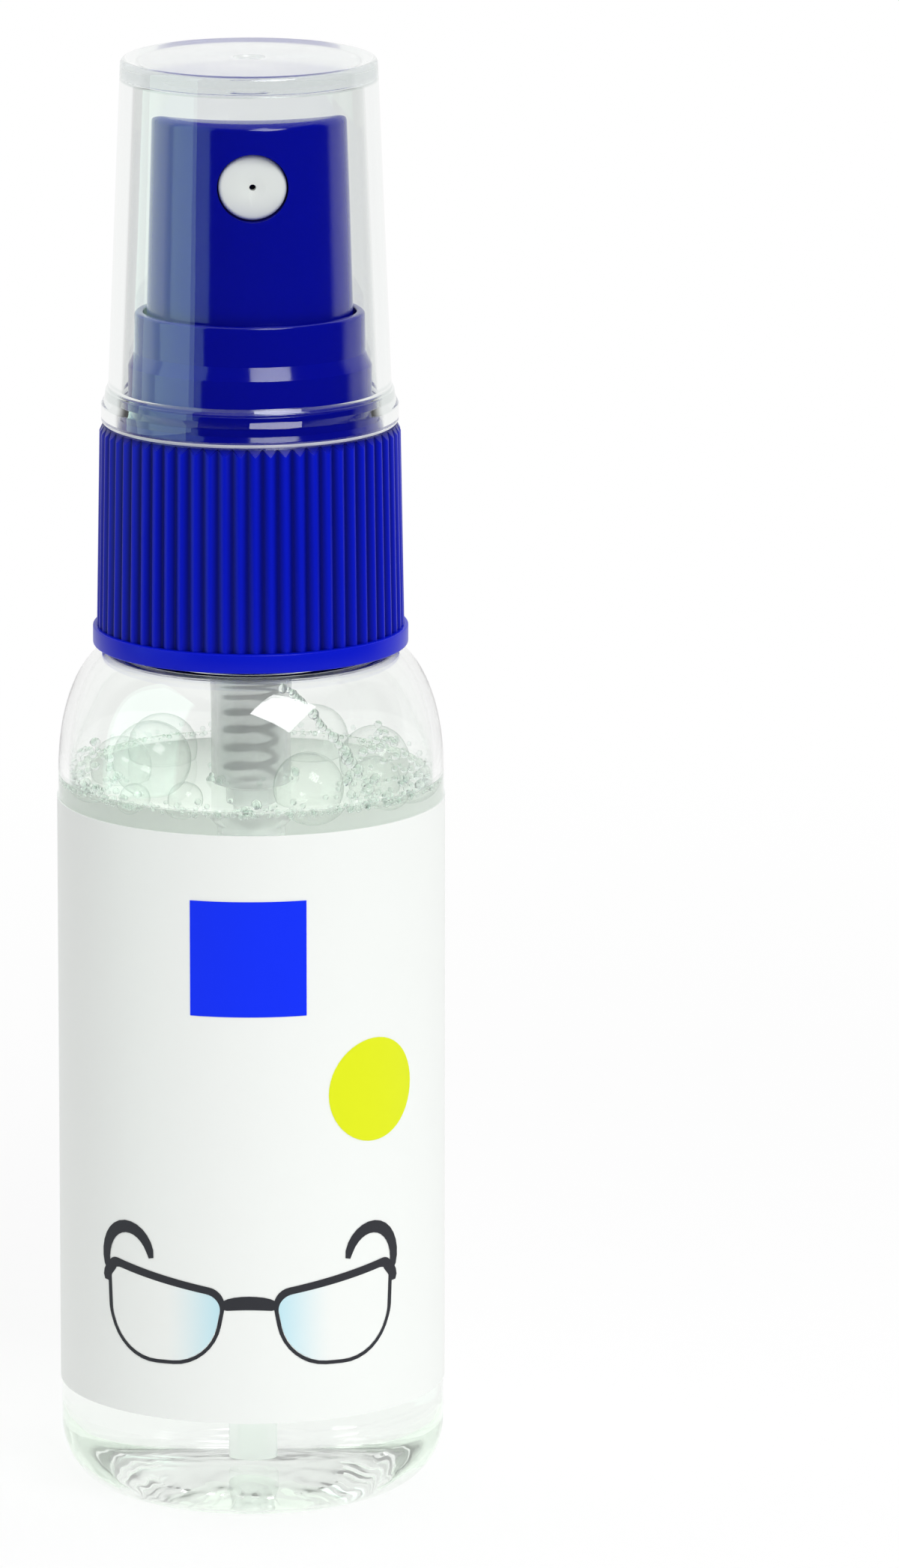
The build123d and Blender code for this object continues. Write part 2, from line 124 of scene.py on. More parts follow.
class BottleSettings(bpy.types.PropertyGroup):
    """Sizes of the blown bottle and its neck."""

    radius: length("Radius", "Outside radius of the body", cad("bottle", HIGHEST).x / MM)
    wall: length("Wall", "Thickness of the side wall", 0.8)
    floor: length("Floor", "Thickness of the base", 1.0)
    heel_width: length("Heel width", "How far in the rounded heel reaches", 3.9)
    heel_height: length("Heel height", "How far up the rounded heel reaches", 4.65)
    foot_width: length("Foot width", "Width of the ring that the bottle stands on", 0.45)
    push_up: length("Push-up", "Rise of the base at its middle", 1.0)
    dome_start: length("Dome start", "Height where the shoulder leaves the side", 55.25)
    shoulder: length("Shoulder", "Height of the flat land under the closure", 64.8)
    land_radius: length("Land radius", "Outside radius of the flat land", 10.0)
    neck_radius: length("Neck radius", "Outside radius of the neck", 8.8)
    neck_bore: length("Neck bore", "Inside radius of the neck", 7.6)
    thread_pitch: length("Thread pitch", "Rise of the neck's screw thread in one turn", 3.175)
    marks: length("Mould marks", "How far the marks under the base stand out", 0.2)
    steps: IntProperty(name="Steps", description="Faces round the bottle", default=144, min=24)
    tint: colour("Tint", "Colour that the clear wall takes off the light", "#FCFDFC")


class LabelSettings(bpy.types.PropertyGroup):
    """Sizes and colours of the wrapped film label and its prints."""

    bottom: length("Bottom", "Height of the label's lower edge", cad("label", LOWEST).z / MM)
    top: length("Top", "Height of the label's upper edge", cad("label", HIGHEST).z / MM)
    inner_radius: length("Inner radius", "Radius of the glued side, a little inside the wall", 14.48)
    film: length("Film", "Thickness of the label and its glue", 0.12)
    seam_gap: length("Seam gap", "Open width between the label's ends", 2.2)
    seam_angle: degrees("Seam angle", "Where the seam is, left of the front", 70.8)
    paper: colour("Paper", "Colour of the unprinted film", "#F2F5F2")
    back: colour("Back", "Colour of the film's glued side, seen through the bottle", "#F8F9F8")
    mark_blue: colour("Mark blue", "Colour of the plain panel", "#042EFA")
    disc_yellow: colour("Disc yellow", "Colour of the plain disc", "#E4EE1C")
    frame_ink: colour("Frame ink", "Colour of the drawn spectacles", "#34353A")
    lens_blue: colour("Lens blue", "Colour of the drawn lenses' glint", "#BFE6F0")


class LiquidSettings(bpy.types.PropertyGroup):
    """The cleaning liquid and the foam on it."""

    level: length("Level", "Height of the liquid's surface", cad("cleaning_fluid", HIGHEST).z / MM)
    creep: length("Creep", "How far the liquid climbs the wall", 0.4)
    overlap: length("Overlap", "How far the liquid enters the wall, so no air lies between", 0.12)
    seed: IntProperty(name="Seed", description="Start of the foam's random draws", default=7)
    tint: colour("Tint", "Colour that the liquid takes off the light", "#FDFEFD")
    froth: colour("Froth", "Colour that small beads of froth take off the light", "#F6FAF8")
    # Painted shade: the darker colour laid on what shows through a large bubble towards its rim.
    bubble_rim_painted_shade: colour("Bubble rim", "Colour of a large bubble's edge, seen along its film", "#CDD4D1")


class PumpSettings(bpy.types.PropertyGroup):
    """The pump that hangs in the bottle."""

    barrel: length("Spring barrel", "Outside radius of the part that holds the spring", 3.0)
    cup: length("Cup", "Outside radius of the snap cup inside the neck", 6.2)
    wire: length("Wire", "Radius of the spring's wire", 0.25)
    coil: length("Coil", "Outside radius of the spring", 2.125)
    turns: IntProperty(name="Turns", description="Turns of the spring", default=11)
    tube: length("Tube", "Outside radius of the dip tube", 1.35)
    tube_bore: length("Tube bore", "Inside radius of the dip tube", 0.75)
    milky: colour("Milky", "Colour of unpigmented polypropylene", "#F9FBFA")
    white: colour("White", "Colour of the retaining ring, stem and valve core", "#EDEDEA")
    piston_white: colour("Piston white", "Colour of the piston and the gasket", "#EAEAE6")
    wire_grey: colour("Wire grey", "Colour of the drawn wire", "#64666A")
    ball_grey: colour("Ball grey", "Colour of the polished ball", "#B9BABC")


class ClosureSettings(bpy.types.PropertyGroup):
    """The ribbed screw closure."""

    ribs: IntProperty(name="Ribs", description="Ribs round the skirt", default=62, min=12)
    lift: length("Lift", "How far the lower edge stands above the CAD closure's", 0.22)
    rib_depth: length("Rib depth", "Depth of the grooves", 0.42)
    rib_edge: length("Rib edge", "Rounding of the grooves' floors; on the crests it is 3.5 times that", 0.07)
    bore: length("Bore", "Inside radius of the skirt", 10.0)
    deck_radius: length("Deck radius", "Radius of the deck inside the ribs' sloped tops", 10.985)
    deck: length("Deck", "Height of the deck that the ribs end at", 81.6)
    seat_radius: length("Seat radius", "Radius of the seat that the overcap grips", 9.75)
    seat: length("Seat", "Height of the top of that seat", 83.8)
    collar_bore: length("Collar bore", "Inside radius of the tall collar", 7.92)
    collar_radius: length("Collar radius", "Outside radius at the collar's top", 8.58)
    collar_step: length("Collar step", "How much wider the collar is below its step", 0.48)
    step_low: length("Step foot", "Height where the step starts", 86.4)
    step_high: length("Step head", "Height where the step ends", 87.4)
    blue: colour("Blue", "Colour of the ribs' crests", "#0315C4")
    polished: colour("Polished blue", "Colour of the seat and collar under the overcap", "#02089A")


class OvercapSettings(bpy.types.PropertyGroup):
    """The clear overcap."""

    skirt_radius: length("Skirt radius", "Radius of the flared foot", 11.12)
    waist_radius: length("Waist radius", "Radius just above the flare", 10.6)
    top_radius: length("Top radius", "Radius at the flat top", 9.57)
    grip_radius: length("Grip radius", "Bore that grips the closure's seat", 9.85)
    wall: length("Wall", "Thickness of the side", 1.15)
    ceiling: length("Ceiling", "Thickness of the flat top", 1.5)
    skirt: length("Skirt", "Height of the upright foot", 1.6)
    flare: length("Flare", "Height of the slope above the foot", 1.0)
    tint: colour("Tint", "Colour that the clear wall takes off the light", "#F8FAF9")
    # Painted shade: a darker tint laid on the thick top rim and the flare.
    edge_painted_shade: colour("Edge tint", "Colour that the thick edges take off the light", "#DDE3E1")


class HeadSettings(bpy.types.PropertyGroup):
    """The push-button and its nozzle."""

    low_radius: length("Foot radius", "Radius at the button's foot", 7.77)
    top_radius: length("Top radius", "Radius at the button's top", 7.2)
    wall: length("Wall", "Thickness of the button's skirt", 0.9)
    edge: length("Edge", "Rounding of the top edge", 0.65)
    dish: length("Dish", "Radius of the ball that hollows the finger rest", 16.0)
    dish_plan: length("Dish plan", "Radius of the dish where it meets the top", 9.5)
    land: length("Land", "Width of the flat left at the front", 2.6)
    nozzle: length("Nozzle", "Radius of the white insert", 2.46)
    nozzle_height: length("Nozzle height", "Height of the nozzle's middle", 100.6)
    turn: degrees("Turn", "How far the head is turned", 3)
    blue: colour("Blue", "Colour of the moulded button", "#02099C")
    white: colour("White", "Colour of the insert", "#FAFBFA")


class StageSettings(bpy.types.PropertyGroup):
    """The floor, the lamps and the camera."""

    floor: colour("Floor", "Colour of the table", "#F1F1F1")
    key: number("Key", "Power of the square softbox", 6.2)
    side: number("Side", "Power of the tall panel on the left", 1.9)
    focal: number("Focal length", "Lens in millimetres", 263.2)
    camera_place: FloatVectorProperty(
        name="Camera place",
        description="Where the camera stands",
        default=(14.93 * MM, -841.6 * MM, 243.8 * MM),
        subtype="TRANSLATION",
        unit="LENGTH",
    )
    camera_fall: degrees("Camera fall", "Angle below level", 12.7151)
    camera_roll: degrees("Camera roll", "Turn about the view", 0.0552)


# ------------------------------------------------------------------ modelling helpers


def arc(centre, radii, start, stop, parts):
    """Points along part of an ellipse in the (radius, height) plane, with angles in degrees."""
    angles = [math.radians(start + (stop - start) * n / parts) for n in range(parts + 1)]
    return [(centre[0] + radii[0] * math.cos(a), centre[1] + radii[1] * math.sin(a)) for a in angles]


def rounded(corners, parts):
    """Points along corners, some of which have a third number: their rounding in millimetres."""
    points = []
    for n, corner in enumerate(corners):
        here = Vector(corner[:2])
        if len(corner) == 2:
            points.append(tuple(here))
            continue
        back = (Vector(corners[n - 1][:2]) - here).normalized()
        ahead = (Vector(corners[(n + 1) % len(corners)][:2]) - here).normalized()
        half = back.angle(ahead) / 2
        radius = corner[2] * MM
        middle = here + (back + ahead).normalized() * radius / math.sin(half)
        first = here + back * radius / math.tan(half) - middle
        last = here + ahead * radius / math.tan(half) - middle
        start = math.atan2(first.y, first.x)
        sweep = (math.atan2(last.y, last.x) - start + math.pi) % FULL_TURN - math.pi
        angles = [start + sweep * n / parts for n in range(parts + 1)]
        points += [(middle.x + radius * math.cos(a), middle.y + radius * math.sin(a)) for a in angles]
    return points


def closed(points):
    """An outline that comes back to its first point."""
    return points + points[:1]


def base_line(bottle, wall, floor):
    """The bottle's hollow base and its heel, from the axis out, that far inside its outer skin."""
    heel = bottle.radius - bottle.heel_width
    foot = heel - bottle.foot_width
    parts = 6
    hollow = [
        (foot * n / parts, floor + bottle.push_up * (1 - (n / parts) ** 2)) for n in range(parts + 1)
    ]
    radii = (bottle.heel_width - wall, bottle.heel_height - floor)
    return hollow + arc((heel, bottle.heel_height), radii, 270, 360, parts=16)


def select(piece):
    """Select one piece alone and make it the active one."""
    bpy.ops.object.select_all(action="DESELECT")
    piece.select_set(True)
    bpy.context.view_layer.objects.active = piece


def start_with(add, **settings):
    """Add a primitive by its operator, with nothing else selected."""
    bpy.ops.object.select_all(action="DESELECT")
    add(**settings)
    return bpy.context.object


def edit(piece):
    """Open one piece alone for editing by its vertices, with all of it selected."""
    select(piece)
    bpy.ops.object.mode_set(mode="EDIT")
    bpy.context.tool_settings.mesh_select_mode = (True, False, False)
    bpy.ops.mesh.select_all(action="SELECT")


def close_edit():
    """Leave edit mode."""
    bpy.ops.object.mode_set(mode="OBJECT")


def pick(piece, kind, keep):
    """Open a piece with only the vertices, edges or polygons that a test lets through selected."""
    if piece.mode == "EDIT":
        close_edit()
    select(piece)
    mesh = piece.data
    for part in (*mesh.vertices, *mesh.edges, *mesh.polygons):
        part.select = False
    for part in getattr(mesh, kind):
        part.select = bool(keep(part))
    modes = ("vertices", "edges", "polygons")
    bpy.context.tool_settings.mesh_select_mode = [kind == mode for mode in modes]
    bpy.ops.object.mode_set(mode="EDIT")


def clean():
    """Merge what coincides, point the faces outwards and smooth all but the sharp edges."""
    bpy.ops.mesh.select_all(action="SELECT")
    bpy.ops.mesh.remove_doubles(threshold=WELD)
    bpy.ops.mesh.normals_make_consistent(inside=False)
    close_edit()
    bpy.ops.object.transform_apply()
    bpy.ops.object.shade_smooth_by_angle(angle=SOFT_EDGE)


def chain(points):
    """A chain of vertices through (radius, height) points, open for editing."""
    place = (points[0][0], 0, points[0][1])
    piece = start_with(bpy.ops.mesh.primitive_plane_add, size=MM, location=place)
    edit(piece)
    bpy.ops.mesh.merge(type="CENTER")
    for here, there in zip(points, points[1:]):
        step = (there[0] - here[0], 0, there[1] - here[1])
        bpy.ops.mesh.extrude_vertices_move(TRANSFORM_OT_translate={"value": step})
    bpy.ops.mesh.select_all(action="SELECT")
    return piece


def turned(name, points, steps, sweep=FULL_TURN, start=0.0):
    """Spin a chain of (radius, height) points about the bottle's axis, by a full turn or less."""
    piece = chain(points)
    piece.name = name
    if start:
        bpy.ops.transform.rotate(value=-start, orient_axis="Z", center_override=AXIS)
    bpy.ops.mesh.spin(steps=steps, angle=sweep, center=AXIS, axis=(0, 0, 1))
    clean()
    return piece


def apply_all(piece):
    """Apply every modifier of a piece in order."""
    select(piece)
    for modifier in list(piece.modifiers):
        bpy.ops.object.modifier_apply(modifier=modifier.name)


def cut(piece, tool):
    """Take one closed piece away from another."""
    modifier = piece.modifiers.new("Cut", "BOOLEAN")
    modifier.operation = "DIFFERENCE"
    modifier.solver = "EXACT"
    modifier.object = tool
    apply_all(piece)
    bpy.data.objects.remove(tool)


def drill(piece, **hole):
    """Take a round hole that lies front to back out of a piece."""
    cut(piece, start_with(bpy.ops.mesh.primitive_cylinder_add, rotation=LYING, **hole))


def join(name, pieces):
    """Join pieces into one object."""
    select(pieces[0])
    for piece in pieces:
        piece.select_set(True)
    bpy.ops.object.join()
    joined = bpy.context.object
    joined.name = name
    return joined


def climb(piece, turns, rise, steps):
    """Sweep a closed outline up a screw line about the axis and close its ends."""
    screw = piece.modifiers.new("Climb", "SCREW")
    screw.angle = FULL_TURN * turns
    screw.screw_offset = rise
    screw.steps = steps
    screw.render_steps = steps
    apply_all(piece)
    edit(piece)
    bpy.ops.mesh.fill_holes(sides=0)
    clean()


def thread(name, radii, widths, height, pitch):
    """A screw ridge of trapezoid section that starts at a height, with its root's measures first."""
    turns = 1.6
    lower = [(radius, height - width / 2) for radius, width in zip(radii, widths)]
    upper = [(radius, height + width / 2) for radius, width in zip(radii, widths)]
    ridge = chain(closed(lower + upper[::-1]))
    ridge.name = name
    bpy.ops.mesh.remove_doubles(threshold=WELD)
    close_edit()
    bpy.ops.object.transform_apply()
    faces_round = 72
    climb(ridge, turns, pitch * turns, round(faces_round * turns))
    return ridge


def second_finish(piece, material, keep):
    """Give the faces that a test on their middle lets through another finish."""
    piece.data.materials.append(material)
    pick(piece, "polygons", lambda face: keep(face.center))
    piece.active_material_index = len(piece.data.materials) - 1
    bpy.ops.object.material_slot_assign()
    close_edit()


def settle(piece, body, slot, material, *nodes):
    """Give a finished piece its material and let it ride on its body. The slot is not used."""
    piece.data.materials.clear()
    piece.data.materials.append(material)
    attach(piece, body)
    if nodes:
        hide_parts(*nodes)


# ------------------------------------------------------------------ materials


def add_node(tree, kind, values):
    """Add one node. A value fills a property or socket; a node or an output is linked to it."""
    node = tree.nodes.new("ShaderNode" + kind)
    for key, value in values.items():
        if isinstance(value, bpy.types.Node):
            value = value.outputs[0]
        if isinstance(value, bpy.types.NodeSocket):
            tree.links.new(value, node.inputs[key])
        elif isinstance(key, str) and hasattr(node, key):
            setattr(node, key, value)
        else:
            node.inputs[key].default_value = value
    return node


def empty_tree(owner):
    """Clear a material's or world's nodes, and give back what adds a node to it."""
    owner.use_nodes = True
    owner.node_tree.nodes.clear()
    return partial(add_node, owner.node_tree)


def new_material(name):
    """An empty material, and what adds a node to it."""
    material = bpy.data.materials.new(name)
    return material, empty_tree(material)


def show(material, add, shader):
    """Send a shader to the material's output."""
    add("OutputMaterial", {"Surface": shader})
    return material


def let_lamps_in(add, shader, tint, bounced=True, mirrored=False):
    """Clear walls stop neither the lamps nor the light that pieces behind them give back."""
    path = add("LightPath", {}).outputs
    way = add("BsdfTransparent", {"Color": (*(math.sqrt(c) for c in tint), 1)})
    lamp = add("MixShader", {0: path["Is Shadow Ray"], 1: shader, 2: way})
    if not bounced:
        return lamp
    if mirrored:
        image = add("MixShader", {0: path["Is Glossy Ray"], 1: lamp, 2: way})
        lamp = add("MixShader", {0: path["Is Transmission Ray"], 1: image, 2: lamp})
    return add("MixShader", {0: path["Is Diffuse Ray"], 1: lamp, 2: way})


def see_through(name, tint, ior, roughness, clearness=1.0, ripple=(), mirrored=False):
    """Clear or milky stuff. A ripple is its waves' size, depth and detail, and any upward stretch."""
    material, add = new_material(name)
    looks = {"Base Color": (*tint, 1), "Transmission Weight": clearness, "IOR": ior, "Roughness": roughness}
    if ripple:
        size, depth, detail, *stretch = ripple
        place = add("TexCoord", {}).outputs["Object"]
        if stretch:
            place = add("Mapping", {"Scale": (1, 1, *stretch), "Vector": place})
        waves = add("TexNoise", {"Scale": 1 / size, "Detail": detail, "Vector": place})
        looks["Normal"] = add("Bump", {"Distance": depth, "Height": waves})
    body = add("BsdfPrincipled", looks)
    return show(material, add, let_lamps_in(add, body, tint, mirrored=mirrored))


def clear_pet(name, tint, wave, depth):
    """Blow-moulded PET: clear, glossy, faintly wavy where the wall cooled unevenly."""
    return see_through(name, tint, PET, 0.0, ripple=(wave, depth, 1.0))


def clear_pp(name, tint):
    """Injection-moulded clarified polypropylene: clear with faint flow ripples and a soft sheen."""
    drawn_ripple = (5 * MM, 0.012 * MM, 1.0, 0.35)
    return see_through(name, tint, POLYPROPYLENE, 0.01, ripple=drawn_ripple, mirrored=True)


def milky_pp(name, tint, clearness, roughness, ior=POLYPROPYLENE):
    """Unpigmented polypropylene or polyethylene: lets light through and blurs what is behind."""
    return see_through(name, tint, ior, roughness, clearness, (0.9 * MM, 0.0012 * MM, 2.0))


def soap_film(middle, rim_painted_shade):
    """A thin skin of liquid: seen through in the middle; towards the rim a mirror gloss and a painted darker
    shade in what shows through.
    """
    material, add = new_material("Soap film thin clear")
    facing = add("LayerWeight", {"Blend": 0.5}).outputs["Facing"]
    edge = add("Math", {"operation": "POWER", 0: facing, 1: 4.0})
    # Painted shade: what shows through the film is darkened towards its rim.
    shade = add("Mix", {"data_type": "RGBA", SHARE: edge, FROM: (*middle, 1), TO: (*rim_painted_shade, 1)})
    share = add("MapRange", {"To Min": 0.03, "To Max": 0.6, "Value": edge})
    clear = add("BsdfTransparent", {"Color": shade.outputs[MIXED]})
    mirror = add("BsdfGlossy", {"Color": (*middle, 1), "Roughness": 0.05})
    return show(material, add, add("MixShader", {0: share, 1: clear, 2: mirror}))


def moulded(name, tint, roughness, grain_size, grain_height, shade=0.06, shine=0.5):
    """An opaque moulded plastic: its own gloss, a fine grain and slightly uneven colour."""
    # The real grain is a few hundredths of a millimetre, too fine to show, so it is drawn coarser.
    material, add = new_material(name)
    place = add("TexCoord", {}).outputs["Object"]
    cloud = add("TexNoise", {"Scale": 1 / (3 * MM), "Detail": 3.0, "Vector": place})
    patches = add("TexNoise", {"Scale": 1 / (0.5 * MM), "Detail": 3.0, "Vector": place})
    lumps = add("TexNoise", {"Scale": 1 / grain_size, "Vector": place})
    dark = add("Mix", {**MULTIPLY, SHARE: shade, FROM: (*tint, 1), TO: cloud})
    gloss = add("MapRange", {"To Min": roughness * 0.75, "To Max": roughness * 1.25, "Value": patches})
    grain = add("Bump", {"Distance": grain_height, "Height": lumps})
    looks = {"Base Color": dark.outputs[MIXED], "Roughness": gloss, "Normal": grain}
    body = add("BsdfPrincipled", {"IOR": POLYPROPYLENE, "Specular IOR Level": shine, **looks})
    return show(material, add, body)


def metal(name, tint, roughness, stretch=1):
    """Stainless steel: the wire keeps its drawing marks, the ball is polished."""
    # Real drawing marks are finer than a tenth of a millimetre, so they are drawn coarser to show.
    material, add = new_material(name)
    place = add("TexCoord", {}).outputs["Object"]
    drawn = add("Mapping", {"Scale": (1, 1, stretch), "Vector": place})
    marks = add("TexNoise", {"Scale": 1 / (0.3 * MM), "Vector": drawn})
    gloss = add("MapRange", {"To Min": roughness * 0.7, "To Max": roughness * 1.3, "Value": marks})
    body = add("BsdfPrincipled", {"Base Color": (*tint, 1), "Metallic": 1.0, "Roughness": gloss})
    return show(material, add, body)


# ------------------------------------------------------------------ the pieces


class MakeBottle(bpy.types.Operator):
    """Model the clear bottle with its neck thread"""

    bl_idname = "lens_spray.make_bottle"
    bl_label = "Bottle"

    def execute(self, context):
        s = context.scene.lens_spray_bottle
        top = cad("bottle", HIGHEST).z
        lip = rounded(
            [
                (s.land_radius, s.shoulder),
                (s.neck_radius, s.shoulder, 0.4),
                (s.neck_radius, top, 0.35),
                (s.neck_bore, top, 0.25),
                (s.neck_bore, s.shoulder - s.wall, 0.8),
                (s.land_radius, s.shoulder - s.wall),
            ],
            parts=4,
        )
        outside = self.skin(s, 0, 0)
        inside = self.skin(s, s.wall, s.floor)
        bottle = turned("bottle_clear", outside + lip[1:-1] + inside[::-1], s.steps)
        self.mould_marks(bottle, s)
        pet = clear_pet("PET blow moulded clear", s.tint, wave=7 * MM, depth=0.02 * MM)
        settle(bottle, "root", "clear_pet", pet, "bottle")
        thick = clear_pet("PET blow moulded thick base", s.tint, wave=3.2 * MM, depth=0.06 * MM)
        second_finish(bottle, thick, lambda p: p.z < s.heel_height)
        radii = (s.neck_radius - 0.1 * MM, s.neck_radius + 0.9 * MM)
        ridge = thread("neck_thread", radii, (1.5 * MM, 0.7 * MM), top - 8.2 * MM, s.thread_pitch)
        settle(ridge, "root", "clear_pet", pet)
        return {"FINISHED"}

    def skin(self, s, wall, floor):
        """The base, heel, side and shoulder, that far inside the outer skin."""
        radii = (s.radius - wall - s.land_radius, s.shoulder - wall - s.dome_start)
        return base_line(s, wall, floor) + arc((s.land_radius, s.dome_start), radii, 0, 90, parts=24)

    def mould_marks(self, bottle, s):
        """Six groups of five short bars raised under the base, where the mould carries its marks."""
        foot = s.radius - s.heel_width - s.foot_width

        def marked(face):
            out = face.center.xy.length / foot
            turn = math.degrees(math.atan2(face.center.y, face.center.x)) % 360
            step = round(turn * s.steps / 360 - 0.5)
            under = face.center.z < s.push_up + 0.01 * MM
            in_band = 0.51 < out < 0.83
            # Each bar is two faces wide and two faces from the next.
            return under and in_band and step % 4 < 2 and step % 24 < 18

        pick(bottle, "polygons", marked)
        bpy.ops.mesh.extrude_region_move(TRANSFORM_OT_translate={"value": (0, 0, -s.marks)})
        clean()


class MakeLabel(bpy.types.Operator):
    """Model the wrapped film label and its prints"""

    bl_idname = "lens_spray.make_label"
    bl_label = "Label"

    def execute(self, context):
        s = context.scene.lens_spray_label
        gap = s.seam_gap / s.inner_radius
        rows = 6
        side = [(s.inner_radius, s.bottom + (s.top - s.bottom) * n / rows) for n in range(rows + 1)]
        start = math.radians(90) + s.seam_angle - gap / 2
        label = turned("label_film", side, steps=160, sweep=FULL_TURN - gap, start=start)
        thick = label.modifiers.new("Film", "SOLIDIFY")
        thick.thickness = s.film
        thick.offset = 1.0
        apply_all(label)
        bpy.ops.object.shade_smooth_by_angle(angle=SOFT_EDGE)
        settle(label, "root", "label_film", self.film(s.paper), "label")
        inner = s.inner_radius + 0.3 * s.film
        second_finish(label, self.glued_side(s.back), lambda p: p.xy.length < inner)
        self.print_marks(s)
        self.print_spectacles(s)
        return {"FINISHED"}

    def film(self, tint):
        """Satin polypropylene film: white, soft in its gloss, and it lets some light into the bottle."""
        material, add = new_material("Polypropylene label film satin white")
        place = add("TexCoord", {}).outputs["Object"]
        patches = add("TexNoise", {"Scale": 1 / (1.5 * MM), "Detail": 3.0, "Vector": place})
        lumps = add("TexNoise", {"Scale": 1 / (0.4 * MM), "Vector": place})
        gloss = add("MapRange", {"To Min": 0.36, "To Max": 0.46, "Value": patches})
        grain = add("Bump", {"Distance": 0.0006 * MM, "Height": lumps})
        looks = {"Base Color": (*tint, 1), "IOR": POLYPROPYLENE, "Roughness": gloss, "Normal": grain}
        return self.lit_through(material, add, add("BsdfPrincipled", looks))

    def glued_side(self, tint):
        """The film's inner side under clear glue: bright, and it glows a little with light from outside."""
        material, add = new_material("Polypropylene label film glued side")
        looks = {"Base Color": (*tint, 1), "Roughness": 0.8, "IOR": POLYPROPYLENE, "Specular IOR Level": 0.0}
        body = add("BsdfPrincipled", looks)
        glow = add("BsdfTranslucent", {"Color": (*tint, 1)})
        return self.lit_through(material, add, add("MixShader", {0: 0.2, 1: body, 2: glow}))

    def lit_through(self, material, add, shader):
        """Let the lamps shine through the film into the bottle."""
        return show(material, add, let_lamps_in(add, shader, (0.95, 0.96, 0.94), bounced=False))

    def print_marks(self, s):
        """A plain blue panel near the top and a plain yellow disc at the right."""
        low, high, half, columns = 39.4 * MM, 48.2 * MM, 4.4 * MM, 8
        panel = chain([(half * n / columns, low) for n in range(-columns, columns + 1)])
        bpy.ops.mesh.extrude_edges_move(TRANSFORM_OT_translate={"value": (0, 0, high - low)})
        close_edit()
        self.wrap(panel, "print_blue_panel", s, self.ink("Printing ink blue", s.mark_blue))
        centre, radius = (10.09 * MM, 33.1 * MM), 3.95 * MM
        disc = chain(arc(centre, (radius, radius), 0, 360, parts=48))
        self.fill(centre)
        self.wrap(disc, "print_yellow_disc", s, self.ink("Printing ink yellow", s.disc_yellow))

    def print_spectacles(self, s):
        """A simple drawing of spectacles: two rounded rims, a bridge, and folded sides."""
        pieces = []
        lenses = []
        for side in (-1, 1):
            centre = (side * 6.6 * MM, 16.5 * MM)
            pieces.append(chain(self.lens_outline(centre, side, 1.0)))
            # The rim's inner edge is the outline drawn in, most at the brow.
            bpy.ops.mesh.extrude_edges_move()
            middle = (centre[0], 0, centre[1] - 2.0 * MM)
            bpy.ops.transform.resize(value=(0.925, 1, 0.87), center_override=middle)
            close_edit()
            lenses.append(chain(self.lens_outline(centre, side, 0.93)))
            self.fill(centre)
            hinge = arc((11.0 * MM, 18.0 * MM), (1.1 * MM, 1.3 * MM), 85, 0, parts=6)
            temple = arc((9.9 * MM, 20.0 * MM), (2.2 * MM, 2.5 * MM), -28, 172, parts=16)
            for line, width in ((hinge, 0.9 * MM), (temple, 0.95 * MM)):
                pieces.append(self.stroke([(side * x, z) for x, z in line], width))
        bridge = arc((0, 16.95 * MM), (2.1 * MM, 0.45 * MM), 165, 15, parts=10)
        pieces.append(self.stroke(bridge, 1.05 * MM))
        frames = join("print_spectacles", pieces)
        self.wrap(frames, "print_spectacles", s, self.ink("Printing ink dark grey", s.frame_ink))
        glints = join("print_lenses", lenses)
        self.wrap(glints, "print_lenses", s, self.lens_ink(s.paper, s.lens_blue), 0.02 * MM)

    def lens_outline(self, centre, side, size):
        """A rounded lens with a high outer corner, narrower at its foot."""
        # Each corner: outwards, upwards and its rounding, in millimetres from the lens's middle.
        corners = ((-5.0, 1.8, 1.4), (-3.9, -4.0, 4.0), (3.9, -4.3, 4.4), (5.2, -0.6, 3.0), (5.4, 3.6, 0.9))
        longest = 0.4 * MM
        turns = rounded([(x * size * MM, z * size * MM, r * size) for x, z, r in corners], parts=8)
        points = []
        for here, there in zip(turns, turns[1:] + turns[:1]):
            parts = math.ceil(math.dist(here, there) / longest)
            for n in range(parts):
                x, z = (a + (b - a) * n / parts for a, b in zip(here, there))
                points.append((centre[0] + side * x, centre[1] + z))
        return closed(points)

    def fill(self, centre):
        """Fill an open outline with rings that shrink to its middle."""
        middle = (centre[0], 0, centre[1])
        bpy.ops.mesh.remove_doubles(threshold=WELD)
        for ratio in (0.8, 0.75, 0.67, 0.5):
            bpy.ops.mesh.extrude_edges_move()
            bpy.ops.transform.resize(value=(ratio, 1, ratio), center_override=middle)
        bpy.ops.mesh.extrude_edges_move()
        bpy.ops.mesh.merge(type="CENTER")
        close_edit()

    def stroke(self, points, width):
        """A pen stroke along a line, thinner towards its ends."""
        sides = []
        end_width = 0.45
        last = len(points) - 1
        for sign in (-1, 1):
            edge = []
            for n, point in enumerate(points):
                ahead = Vector(points[min(n + 1, last)]) - Vector(points[max(n - 1, 0)])
                swell = math.sqrt(math.sin(math.pi * n / last))
                half = width / 2 * (end_width + (1 - end_width) * swell)
                out = Vector((-ahead.y, ahead.x)).normalized() * half * sign
                edge.append((point[0] + out.x, point[1] + out.y))
            sides.append(chain(edge))
            close_edit()
            bpy.ops.object.transform_apply()
        pen = join("stroke", sides)
        edit(pen)
        bpy.ops.mesh.bridge_edge_loops()
        close_edit()
        return pen

